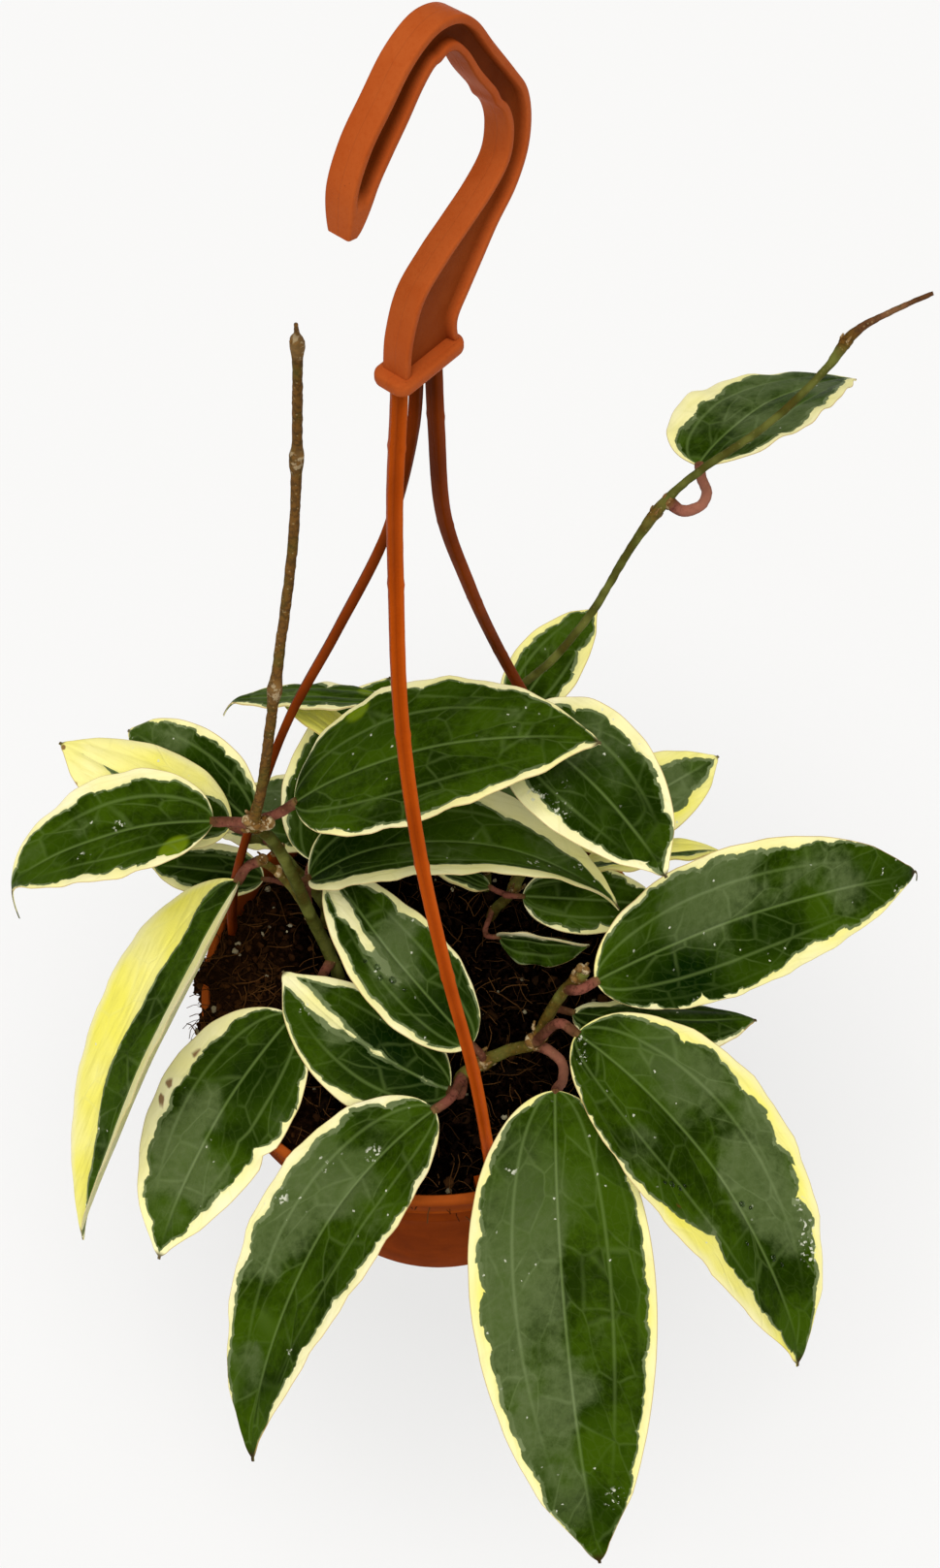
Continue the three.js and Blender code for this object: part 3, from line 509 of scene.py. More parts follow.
def blade_piece(name, settings, material):
    """One closed blade with a rounded margin, sunken veins above and a raised midrib below."""
    blade = Blade(name)
    left_margin, right_margin, sheen_and_lime, yellowness, hooked = PATTERNS[name]
    random = np.random.default_rng(sum(map(ord, name)))
    rows = 0.5 - 0.5 * np.cos(np.pi * np.arange(BLADE_ROWS + 1) / BLADE_ROWS)
    tail = hooked * (1.5 if hooked > LONG_TAIL else 0.5) / blade.length
    rows = np.concatenate([rows, 1 + tail * np.arange(1, 7) / 6])
    upper = np.concatenate([-ACROSS[:0:-1], ACROSS])
    lower = upper[-2:0:-1]
    u_ring = np.concatenate([upper, lower])
    below = np.concatenate([np.zeros(len(upper)), np.ones(len(lower))])
    t, u = np.meshgrid(rows, u_ring, indexing="ij")
    under = np.broadcast_to(below, t.shape)
    w = blade.widths(t, u)
    size = w / (blade.width / 2)
    x = u * w
    half = settings.thickness * 0.5 * np.sqrt(np.clip(1 - np.abs(u) ** 7, 0, 1)) * (0.55 + 0.45 * size)
    rib = np.exp(-((x / 1.0) ** 2)) * np.clip(1 - t, 0, 1) ** 0.5
    hollow = np.sin(np.pi * np.clip(np.abs(u) / ARCH, 0, 1)) + 0.7 * np.sin(
        np.pi * np.clip((np.abs(u) - ARCH) / (1 - ARCH), 0, 1))
    phase = random.uniform(0, 6.28, 6)
    count = blade.length / 17
    calm = 0.35 if name in YELLOW_BLADES else 1.0
    wave = calm * np.abs(u) ** 3 * size * (
        np.sin(6.28 * count * t + phase[0] + (u > 0) * phase[1])
        + 0.6 * np.sin(6.28 * 1.9 * count * t + phase[2] + (u > 0) * phase[3]))
    swell = 0.35 * size * np.sin(6.28 * 2.3 * t + phase[4] + 2 * u)
    shape = settings.waviness * (wave + swell) - hooked * np.maximum(0, (t - 0.9) / 0.1) ** 2
    lift_above = half - settings.groove * rib + settings.quilting * hollow * size
    lift_below = -half - 1.6 * settings.groove * rib + settings.quilting * hollow * size
    lift = shape + np.where(under > 0.5, lift_below, lift_above)
    points = blade.points(t, u, w, lift)
    if hooked > LONG_TAIL:
        points[..., 2] -= 5.1 * (hooked - 2.24) * np.clip((t - 1) / tail, 0, 1) ** 1.5
    points = points.reshape(-1, 3)
    piece = new_object(name + "_blade", points, loft_faces(len(rows), len(u_ring)), material)
    mesh = piece.data
    turn_outwards(mesh)
    steps = np.linspace(0, 1, 6)
    margin = np.where(u >= 0, np.interp(t, steps, left_margin), np.interp(t, steps, right_margin))
    from_edge = (1 - np.abs(u)) * w
    seed = float(random.uniform(0, 50))
    flat = np.stack([x, t * blade.length, np.full_like(t, seed)], axis=-1)
    give_attribute(mesh, "flat", flat.reshape(-1, 3))
    give_attribute(mesh, "blade", np.stack([u, t, w], axis=-1).reshape(-1, 3))
    within = from_edge - margin
    if name in BANDED:
        reach = blade.half_width(t, -1) + x
        start, end = np.interp(t, steps, left_margin), np.interp(t, steps, right_margin)
        within = np.minimum(reach - start, end - reach)
    for across, along, wide, long in STREAKS.get(name, []):
        off = np.hypot(((u - across) * w) / wide, (t - along) * blade.length / long)
        within = np.minimum(within, (off - 1) * wide)
    rim = np.stack([within, from_edge, under], axis=-1)
    give_attribute(mesh, "rim", rim.reshape(-1, 3))

    def patch(across, along, radius):
        off = ((u - across) * w) ** 2 + ((t - along) * blade.length) ** 2
        return np.exp(-off / radius ** 2)

    mark = np.zeros_like(t)
    for spot in MARKS.get(name, []):
        mark = np.maximum(mark, patch(*spot))
    for spot in CHALK.get(name, []):
        mark = mark - patch(*spot)
    # Painted grey sheen: a level for each side of the midrib, with the patches above added on.
    hazy = sheen_and_lime[1] + (sheen_and_lime[0] - sheen_and_lime[1]) * np.clip(0.5 + x / 5, 0, 1)
    for *spot, strength in SHEEN_AND_LIME.get(name, []):
        hazy = hazy + strength * patch(*spot)
    yellow = np.where(u > 0, 0.35, yellowness) if name in BANDED else np.full_like(t, yellowness)
    tone = np.stack([hazy, yellow, mark], axis=-1)
    give_attribute(mesh, "ragged", np.full(t.size, RAGGED.get(name, 1.0)))
    depth = np.zeros_like(t)
    for *spot, strength in DEEP.get(name, []):
        depth = np.maximum(depth, strength * patch(*spot))
    give_attribute(mesh, "depth", depth.ravel())
    give_attribute(mesh, "tone", tone.reshape(-1, 3))
    return piece


def water_drops(settings):
    """Low clear domes that sit on the blades."""
    material, g = new_material("water")
    g.surface({"Base Color": (0.62, 0.72, 0.6, 1.0), "Roughness": 0.0, "IOR": 1.33,
               "Transmission Weight": 1.0}, {})
    turns, heights = 14, (-0.25, 0.0, 0.22, 0.42, 0.54, 0.6)
    points, faces = [], []
    for name, across, along, radius in DROPS:
        blade = Blade(name)
        t, u = np.array([along, along + 0.01, along]), np.array([across, across, across + 0.02])
        w = blade.widths(t, u)
        size = w / (blade.width / 2)
        hollow = np.sin(np.pi * np.clip(np.abs(u) / ARCH, 0, 1))
        lift = settings.thickness * 0.5 * (0.55 + 0.45 * size) + settings.quilting * hollow * size
        middle, ahead, beside = blade.points(t, u, w, lift)
        forward = (ahead - middle) / np.linalg.norm(ahead - middle)
        up = np.cross(forward, beside - middle)
        up /= np.linalg.norm(up)
        side = np.cross(up, forward)
        first = len(points)
        for height in heights:
            wide = radius * math.sqrt(max(0.02, 1 - (height / 0.62) ** 2)) if height > 0 else radius * 0.98
            for turn in np.linspace(0, 2 * np.pi, turns, endpoint=False):
                out = forward * math.cos(turn) * 1.2 + side * math.sin(turn)
                points.append(middle + out * wide + up * height * radius)
        faces += [tuple(first + v for v in face) for face in loft_faces(len(heights), turns)]
    piece = new_object("water_drops", points, faces, material)
    turn_outwards(piece.data)
    return piece


def leaf_material(settings):
    """Dark green with lighter veins, painted grey sheen, a ragged grey step and a cream margin with a thin
    tan edge.
    """
    material, g = new_material("variegated_leaf")
    flat = g.attribute("flat")
    u, t, w = g.split(g.attribute("blade"))
    inside, from_edge, under = g.split(g.attribute("rim"))
    sheen_and_lime, yellowness, mark = g.split(g.attribute("tone"))
    x, y, seed = g.split(flat)

    slanted = g.join(abs(x), y - abs(x) * 0.6, seed + (x > 0) * 9.0)
    bent = g.shifted(slanted, g.scaled(g.noise(flat, 0.09, 2.0, output="Color"), (3.2, 3.2, 0.0)))
    wide_cells = g.scaled(bent, (1.0, 0.68, 1.0))
    net = g.cells(wide_cells, 0.105, "DISTANCE_TO_EDGE")
    sector, sector_two, _ = g.split(g.cells(wide_cells, 0.105, output="Color"))
    patches = g.cells(g.scaled(slanted, (1.0, 0.62, 1.0)), 0.4, output="Color")
    jag, jag_two, _ = g.split(patches)

    lane = {"voronoi_dimensions": "1D"}
    run = y + (u > 0) * 41.0 + seed * 7.0 + (g.noise(flat, 0.25, 1.0) - 0.5) * 5.0
    lobe = g.node("ShaderNodeTexVoronoi", lane, {"W": run, "Scale": 0.125})
    step_out, _, _ = g.split(g.node("ShaderNodeTexVoronoi", lane, {"W": run, "Scale": 0.125}, "Color"))
    small_lobe = g.node("ShaderNodeTexVoronoi", lane, {"W": run, "Scale": 0.33})
    scallop = 0.5 - lobe * lobe * 3.0 - small_lobe * small_lobe * 1.1 + (step_out - 0.5) * 1.0
    wander = g.noise(flat, 0.1, 1.0) - 0.5
    ragged = (inside + (wander * 2.4 + scallop + (jag - 0.5) * 0.22) * g.attribute("ragged", "Fac")
              + (g.noise(flat, 1.1, 2.0) - 0.5) * 0.25)
    green = ragged.rise(-0.1, 0.16)
    step = ragged - (0.3 + sheen_and_lime * 1.3) * (jag_two * 0.9 + sector * 0.9) - 0.1
    deep = step.rise(-0.08, 0.35)

    blotch = g.noise(flat, 0.05, 2.0)
    mottle = g.noise(flat, 0.4, 4.0, 0.7) - 0.5
    dark = g.mix(opaque(settings.dark_green), opaque(settings.mid_green),
                 (blotch + (sector_two - 0.5) * 0.14 + mottle * 0.45).rise(0.3, 0.64))
    dark = g.mix(dark, tint(18, 40, 2), sector_two.rise(0.76, 0.84) * (0.3 + mottle))
    dark = g.mix(dark, tint(8, 28, 1), (g.attribute("depth", "Fac") * (0.85 + mottle * 0.8)).clamp())
    # Painted sheen: broad grey-green clouds over the green, fading towards base and tip; the veins under them
    # are painted paler too.
    reach = t.rise(0.04, 0.4) * t.fall(0.72, 0.98) * 0.8 + 0.2
    cloud = (g.noise(flat, 0.045, 3.0, 0.55).rise(0.3, 0.7) * 0.8 + sheen_and_lime * 1.15 - 0.95 + (sector - 0.5) * 0.12
             + mottle * 0.35).rise(-0.16, 0.34) * reach
    painted_sheen = cloud * (0.5 + g.noise(flat, 0.16, 3.0) * 0.6 + mottle * 1.2)
    dark = g.mix(dark, opaque(settings.grey_and_sheen_green), painted_sheen)
    grey = g.mix(opaque(settings.grey_and_sheen_green), tint(116, 130, 92), jag)

    rib = abs(x).fall(0.05, 0.75) * t.fall(0.7, 1.0) * 0.75
    arch = (abs(abs(u) - ARCH) * w).fall(0.0, 0.85) * t.fall(0.45, 0.92) * 0.55
    outer = (abs(abs(u) - 0.8) * w).fall(0.05, 0.7) * t.fall(0.3, 0.8) * 0.14
    fading = g.noise(flat, 0.08, 1.0).rise(0.36, 0.62)
    lateral = net.fall(0.0, 0.05) * (0.1 + fading * 0.22)
    fine_net = g.cells(bent, 0.3, "DISTANCE_TO_EDGE").fall(0.0, 0.08) * 0.07
    veins = (rib.math("MAXIMUM", arch).math("MAXIMUM", outer).math("MAXIMUM", lateral)
             .math("MAXIMUM", fine_net))
    dark = g.mix(dark, tint(112, 136, 14), (0 - sheen_and_lime).rise(0.45, 0.9) * 0.8)
    pale_vein = g.mix(opaque(settings.vein_green), tint(124, 142, 98), cloud)
    dark = g.mix(dark, pale_vein, veins * 0.75)

    cream = g.mix(opaque(settings.cream), opaque(settings.yellow),
                  (yellowness + (g.noise(flat, 0.05, 2.0) - 0.5) * 1.3).clamp())
    cream = g.mix(cream, tint(228, 226, 150), rib.math("MAXIMUM", lateral * 2.0) * 0.4)
    cream = g.mix(cream, tint(204, 208, 138), ragged.rise(-1.3, 0.0) * jag * 0.4)
    streaks = g.noise(g.scaled(flat, (1.0, 0.1, 1.0)), 0.8, 3.0, 0.6)
    cream = g.mix(cream, tint(202, 196, 92), streaks.rise(0.42, 0.72) * yellowness * 0.45)
    cream = g.mix(cream, tint(244, 240, 200), from_edge.fall(0.3, 3.4) * w.rise(6, 14) * yellowness * 0.7)
    upper = g.mix(cream, g.mix(grey, dark, deep), green)

    broken = g.shifted(flat, g.scaled(g.noise(flat, 1.4, 2.0, output="Color"), (1.1, 1.1, 0.0)))
    speck_pick, _, _ = g.split(g.cells(broken, 0.5, output="Color"))
    dusty = g.noise(flat, 0.045, 1.0).rise(0.5, 0.58)
    specks = g.cells(broken, 0.5).fall(0.09, 0.2) * (speck_pick > 0.88) * dusty
    chalk = (0 - mark).rise(0.3, 0.7) * g.noise(flat, 0.9, 2.0, 0.5).rise(0.57, 0.63)
    upper = g.mix(upper, tint(214, 218, 204), specks.math("MAXIMUM", chalk) * 0.85)
    spot_pick, _, _ = g.split(g.cells(flat, 0.11, output="Color"))
    spots = g.cells(flat, 0.11).fall(0.06, 0.1) * (spot_pick > 0.94) * (1 - green)
    upper = g.mix(upper, tint(112, 62, 30), spots.math("MAXIMUM", mark.rise(0.3, 0.6)) * 0.85)
    upper = g.mix(upper, tint(188, 156, 106), from_edge.fall(0.1, 0.34) * 0.7)
    upper = g.mix(upper, tint(52, 36, 20), t.rise(0.974, 0.996) * 0.9)

    back = g.mix(tint(112, 130, 78), tint(142, 152, 98), blotch)
    back = g.mix(cream, back, green)
    back = g.mix(back, tint(164, 170, 122), rib.math("MAXIMUM", lateral) * 0.6)
    colour = g.mix(upper, back, under)

    grain = g.noise(flat, 2.2, 3.0, 0.6)
    height = grain * 0.22 + g.noise(flat, 0.35, 2.0) * 0.5 - veins * 1.1 - green * 0.12
    normal = g.bump(height, 0.4, 0.0006)
    rough = 0.34 + grain * 0.12 + under * 0.2 + cloud * 0.06
    g.surface({"Specular IOR Level": 0.01, "Specular Tint": (1.0, 0.96, 0.7, 1.0)},
              {"Base Color": colour, "Roughness": rough, "Normal": normal})
    return material


class HoyaLeafSettings(bpy.types.PropertyGroup):
    """Sizes and colours of the blades"""
    thickness: bpy.props.FloatProperty(name="Thickness", description="Blade thickness in millimetres",
                                       default=1.15, min=0.6, max=1.6)
    waviness: bpy.props.FloatProperty(name="Waviness", default=0.55, min=0.0, max=1.5,
                                      description="Height of the margin's waves in millimetres")
    groove: bpy.props.FloatProperty(name="Midrib", description="Depth of the midrib's groove in millimetres",
                                    default=0.4, min=0.0, max=0.8)
    quilting: bpy.props.FloatProperty(name="Quilting", default=0.45, min=0.0, max=1.0,
                                      description="Swelling between the main veins in millimetres")
    dark_green: bpy.props.FloatVectorProperty(name="Dark green", description="The middle of a blade",
                                              subtype="COLOR", default=tint(26, 44, 1)[:3], min=0, max=1)
    mid_green: bpy.props.FloatVectorProperty(name="Mid green", description="Lighter areas of the middle",
                                             subtype="COLOR", default=tint(54, 79, 6)[:3], min=0, max=1)
    # Also the colour of the painted grey sheen on the green.
    grey_and_sheen_green: bpy.props.FloatVectorProperty(name="Grey green", subtype="COLOR",
                                              description="The hazy step beside the margin",
                                              default=tint(84, 100, 60)[:3], min=0, max=1)
    vein_green: bpy.props.FloatVectorProperty(name="Veins", description="The veins on the green",
                                              subtype="COLOR", default=tint(108, 132, 70)[:3], min=0, max=1)
    cream: bpy.props.FloatVectorProperty(name="Cream", description="The palest margin",
                                         subtype="COLOR", default=tint(250, 247, 212)[:3], min=0, max=1)
    yellow: bpy.props.FloatVectorProperty(name="Yellow", description="The yellowest margin",
                                          subtype="COLOR", default=tint(240, 234, 104)[:3], min=0, max=1)


class HOYA_OT_leaves(bpy.types.Operator):
    """Build every leaf blade over its solid"""
    bl_idname = "hoya.leaves"
    bl_label = "Leaves"

    def execute(self, context):
        settings = context.scene.hoya_leaves
        material = leaf_material(settings)
        for name in BLADES:
            piece = blade_piece(name, settings, material)
            settle(piece, name, slot="leaf_yellow" if name in YELLOW_BLADES else "leaf")
        settle(water_drops(settings), slot="leaf")
        return {"FINISHED"}


# Paths

def centripetal(points, samples=20):
    """A smooth curve through the points, the one that the solids follow."""
    p = np.asarray(points, dtype=float)
    p = np.vstack([2 * p[0] - p[1], p, 2 * p[-1] - p[-2]])
    gaps = np.maximum(np.linalg.norm(np.diff(p, axis=0), axis=1) ** 0.5, 1e-3)
    curve = []
    for i in range(1, len(p) - 2):
        a, b, c, d = p[i - 1:i + 3]
        ga, gb, gc = gaps[i - 1:i + 2]
        start = ((b - a) / ga - (c - a) / (ga + gb) + (c - b) / gb) * gb
        end = ((c - b) / gb - (d - b) / (gb + gc) + (d - c) / gc) * gb
        s = (np.arange(samples) / samples)[:, None]
        curve.append(b + start * s + (3 * c - 3 * b - 2 * start - end) * s ** 2
                     + (2 * b - 2 * c + start + end) * s ** 3)
    return np.vstack([*curve, p[-2:-1]])


def spline(points, samples):
    """The even curve of the hook's edges, over its whole run, in the given number of steps."""
    p = np.asarray(points, dtype=float)
    position = np.linspace(0, len(p) - 1, samples + 1)
    i = np.minimum(position.astype(int), len(p) - 2)
    s = (position - i)[:, None]
    a, b, c, d = (p[np.clip(i + k, 0, len(p) - 1)] for k in (-1, 0, 1, 2))
    start, end = (c - a) / 2, (d - b) / 2
    return b + start * s + (3 * c - 3 * b - 2 * start - end) * s ** 2 + (2 * b - 2 * c + start + end) * s ** 3


def even_steps(curve, spacing):
    """The same curve at an even spacing, and how far along it each point lies."""
    lengths = np.concatenate([[0], np.cumsum(np.linalg.norm(np.diff(curve, axis=0), axis=1))])
    count = max(4, int(round(lengths[-1] / spacing)))
    along = np.linspace(0, lengths[-1], count + 1)
    points = np.stack([np.interp(along, lengths, curve[:, k]) for k in range(3)], axis=1)
    return points, along


# Trees of geometry nodes

def modifier_tree(name, inputs):
    """A geometry tree with named inputs; returns it, its graph and its input signals by name."""
    tree = bpy.data.node_groups.new(name, "GeometryNodeTree")
    tree.interface.new_socket("Geometry", in_out="INPUT", socket_type="NodeSocketGeometry")
    for label, (kind, default) in inputs.items():
        socket = tree.interface.new_socket(label, in_out="INPUT", socket_type="NodeSocket" + kind)
        if default is not None:
            socket.default_value = default
    tree.interface.new_socket("Geometry", in_out="OUTPUT", socket_type="NodeSocketGeometry")
    graph = Graph(tree)
    start = graph.node("NodeGroupInput", {}, {})
    return tree, graph, {label: start.also(label) for label in ("Geometry", *inputs)}


def end_tree(graph, geometry, finish):
    whole = graph.node("GeometryNodeRealizeInstances", {}, {0: geometry})
    dressed = graph.node("GeometryNodeSetMaterial", {}, {"Geometry": whole, "Material": finish})
    graph.node("NodeGroupOutput", {}, {0: dressed})


def grow(host, tree, values, name):
    """Runs the tree on the host and returns the result as a plain mesh object."""
    modifier = host.modifiers.new("grow", "NODES")
    modifier.node_group = tree
    for item in tree.interface.items_tree:
        if item.in_out == "INPUT" and item.name in values:
            modifier[item.identifier] = values[item.name]
    bpy.context.view_layer.update()
    ready = host.evaluated_get(bpy.context.evaluated_depsgraph_get())
    mesh = bpy.data.meshes.new_from_object(ready)
    mesh.name = name
    host.modifiers.remove(modifier)
    mesh.shade_smooth()
    piece = bpy.data.objects.new(name, mesh)
    bpy.context.scene.collection.objects.link(piece)
    return piece


# Stems: each path with its radius, where its nodes lie along it, and how corky it is

SOIL_LEVEL = 100
STEM_FOOT = SOIL_LEVEL - 22
STEMS = {
    "stem_left": [
        ([(-15, 24, STEM_FOOT), (-16, 25, 104), (-16, 29, 118), (-19, 31, 140), (-21, 32, 157),
          (-24, 35, 178), (-29, 36, 192)], 2.1, [0.99], 0.1),
        ([(-29, 36, 192), (-26, 34, 206), (-18, 31, 248), (-6, 33, 283), (-1, 34, 306), (-1, 30, 342),
          (-2, 29, 345)], 1.4, [0.0, 0.335, 0.74, 0.955], 0.8),
        ([(-19, 31, 140), (-19, 37, 147), (-20, 42, 152), (-22, 45, 156)], 1.5, [0.95], 0.5),
    ],
    "stem_front": [
        ([(-21, -27, STEM_FOOT), (-21, -27, 104), (-20, -28, 113), (-15, -31, 117), (-8, -35, 119),
          (-3, -40, 122), (3, -40, 130), (8, -41, 138), (13, -44, 147)], 2.1, [0.48, 0.7, 0.97], 0.4),
    ],
    "stem_back_left": [
        ([(-4, 41, STEM_FOOT), (-4, 41, 104), (-4, 41, 112), (-8, 47, 132), (-14, 51, 151),
          (-20, 52, 158)], 1.8, [0.8], 0.3),
    ],
    "stem_right": [
        ([(30, 5, STEM_FOOT), (31, 3, 104), (33, -2, 118), (40, -3, 128), (42, -8, 136),
          (44, -7, 146)], 1.8, [0.6, 0.95], 0.4),
    ],
    "vine": [
        ([(38, 11, STEM_FOOT), (38, 11, 104), (41, 15, 150), (43, 18, 178), (52, 12, 190), (57, 5, 203),
          (67, 0, 218), (81, -1, 232), (94, -2, 240), (102, -6, 247), (116, -15, 258), (131, -21, 270),
          (141, -22, 276), (151, -29, 282), (155, -34, 286)], 1.3, [0.33, 0.67, 0.91], 0.1),
    ],
}

# How the dead stick and the vine thin towards their ends: from where, to where and by how much
TAPERS = {("stem_left", 1): (0.962, 0.974, 0.55), ("vine", 0): (0.915, 1.0, 0.45)}

# Where each leaf's stalk leaves its stem
STALKS = {
    "stem_left": {
        "leaf_top": (-29, 36, 192), "leaf_left": (-29, 36, 192), "leaf_left_folded": (-22, 45, 156),
        "leaf_curled": (-17, 31, 130), "leaf_behind_top": (-19, 31, 135), "leaf_left_low": (-16, 27, 111),
    },
    "stem_front": {
        "leaf_front": (-3, -40, 122), "leaf_front_left": (-20, -28, 113), "leaf_front_right": (-3, -40, 122),
        "leaf_right": (9, -42, 140), "leaf_inner_left": (-20, -28, 113), "leaf_inner_middle": (-15, -31, 117),
        "leaf_right_low": (-3, -40, 122),
    },
    "stem_back_left": {
        "leaf_left_yellow": (-20, 52, 158), "leaf_left_back": (-14, 51, 151),
        "leaf_left_under": (-5, 42, 118),
        "leaf_back_left": (-4, 41, 112),
    },
    "stem_right": {
        "leaf_back_right": (44, -7, 146), "leaf_right_under": (42, -8, 136),
        "leaf_right_small": (33, -2, 118),
        "leaf_small_folded": (31, 3, 107), "leaf_small_inner": (33, -2, 118), "leaf_back_low": (40, -3, 128),
    },
    "vine": {
        "leaf_top_right": (43, 18, 178), "leaf_back_edge": (43, 18, 178), "leaf_yellow_tip": (43, 18, 178),
        "leaf_vine_foot": (43, 18, 178), "leaf_vine": (94, -2, 240), "leaf_back": (38, 11, 112),
    },
}
# Extra points of the two stalks that loop out before they reach their blades
LOOPS = {
    "leaf_front": [(-1.5, -44.5, 120.8), (-1.5, -49, 119.5), (-6, -53, 121.5), (-11.5, -55, 127)],
    "leaf_vine": [(95.5, -6, 237.5), (100, -8.5, 237), (106.5, -6.5, 235.5), (111, -1.5, 235)],
}
KNOT_LUMPS = ((-0.012, 0.75), (-0.006, 0.95), (0.0, 1.15), (0.006, 1.0), (0.012, 0.7))

# Pale knobs where old growth broke off: place and radius
KNOBS = {
    "stem_left": [((-29.6, 36.7, 193.3), 1.9), ((-28.0, 34.8, 192.5), 2.3), ((-26.8, 33.4, 192.2), 2.2),
                  ((-28.3, 35.2, 190.4), 2.0), ((-21.5, 44.5, 156.5), 1.6), ((-19.5, 41.0, 151.5), 1.5)],
    "stem_front": [((-3.4, -39.4, 123.4), 1.9), ((13.2, -44.0, 147.4), 1.7), ((12.4, -43.0, 148.6), 1.3)],
}
PETIOLE_BEND = 5
NODE_SWELLING = 0.45


def stem_tree():
    """Round wrinkled stems along polylines, with a knotty bud wherever a point asks for one."""
    inputs = {"Sides": ("Int", 14), "Wrinkle height": ("Float", 0.0003), "Wrinkle scale": ("Float", 420.0),
              "Finish": ("Material", None)}
    tree, g, given = modifier_tree("wrinkled_stems", inputs)
    path = g.node("GeometryNodeMeshToCurve", {}, {0: given["Geometry"]})
    ring = g.node("GeometryNodeCurvePrimitiveCircle", {}, {"Resolution": given["Sides"], "Radius": 1.0})
    girth = g.stored("girth")
    skin = g.node("GeometryNodeCurveToMesh", {},
                  {"Curve": path, "Profile Curve": ring, "Scale": girth, "Fill Caps": True})
    knot = g.stored("knot")
    places = g.node("GeometryNodeMeshToPoints", {}, {"Mesh": given["Geometry"], "Selection": knot > 0.0001})
    ball = g.node("GeometryNodeMeshIcoSphere", {}, {"Radius": 1.0, "Subdivisions": 3})
    turn = g.node("FunctionNodeRandomValue", {"data_type": "FLOAT_VECTOR"},
                  {0: (0.0, 0.0, 0.0), 1: (6.28, 6.28, 6.28), "Seed": 5})
    shape = g.node("FunctionNodeRandomValue", {"data_type": "FLOAT_VECTOR"},
                   {0: (0.75, 0.7, 0.9), 1: (1.15, 1.05, 1.3), "Seed": 8})
    size = g.scaled(shape, g.join(knot, knot, knot))
    buds = g.node("GeometryNodeInstanceOnPoints", {}, {"Points": places, "Instance": ball,
                                                       "Rotation": turn, "Scale": size})
    buds = g.node("GeometryNodeRealizeInstances", {}, {0: buds})
    joined = g.node("GeometryNodeJoinGeometry", {}, {0: skin})
    g.tree.links.new(buds.socket, joined.socket.node.inputs[0])
    where = g.node("GeometryNodeInputPosition", {}, {})
    bumps = g.noise(where, given["Wrinkle scale"], 3.0, 0.6) - 0.5
    outward = g.node("GeometryNodeInputNormal", {}, {})
    push = bumps * given["Wrinkle height"] * 2.0
    offset = g.scaled(outward, g.join(push, push, push))
    moved = g.node("GeometryNodeSetPosition", {}, {"Geometry": joined, "Offset": offset})
    end_tree(g, moved, given["Finish"])
    return tree


def spurs(curve, at, radius):
    """Three short pointed leftovers of old stalks round a node."""
    line, _ = even_steps(curve, 0.8)
    i = int(round(at * (len(line) - 1)))
    tangent = line[min(i + 1, len(line) - 1)] - line[max(i - 1, 0)]
    tangent /= np.linalg.norm(tangent)
    aside = np.cross(tangent, (0.3, -0.8, 0.5))
    aside /= np.linalg.norm(aside)
    other = np.cross(tangent, aside)
    for k in range(3):
        turn = 2.1 * k + at * 9
        out = aside * math.cos(turn) + other * math.sin(turn)
        yield [line[i] + out * radius * 0.4, line[i] + out * radius * 1.25 + tangent * radius * 0.5,
               line[i] + out * radius * 1.45 + tangent * radius * 1.5]


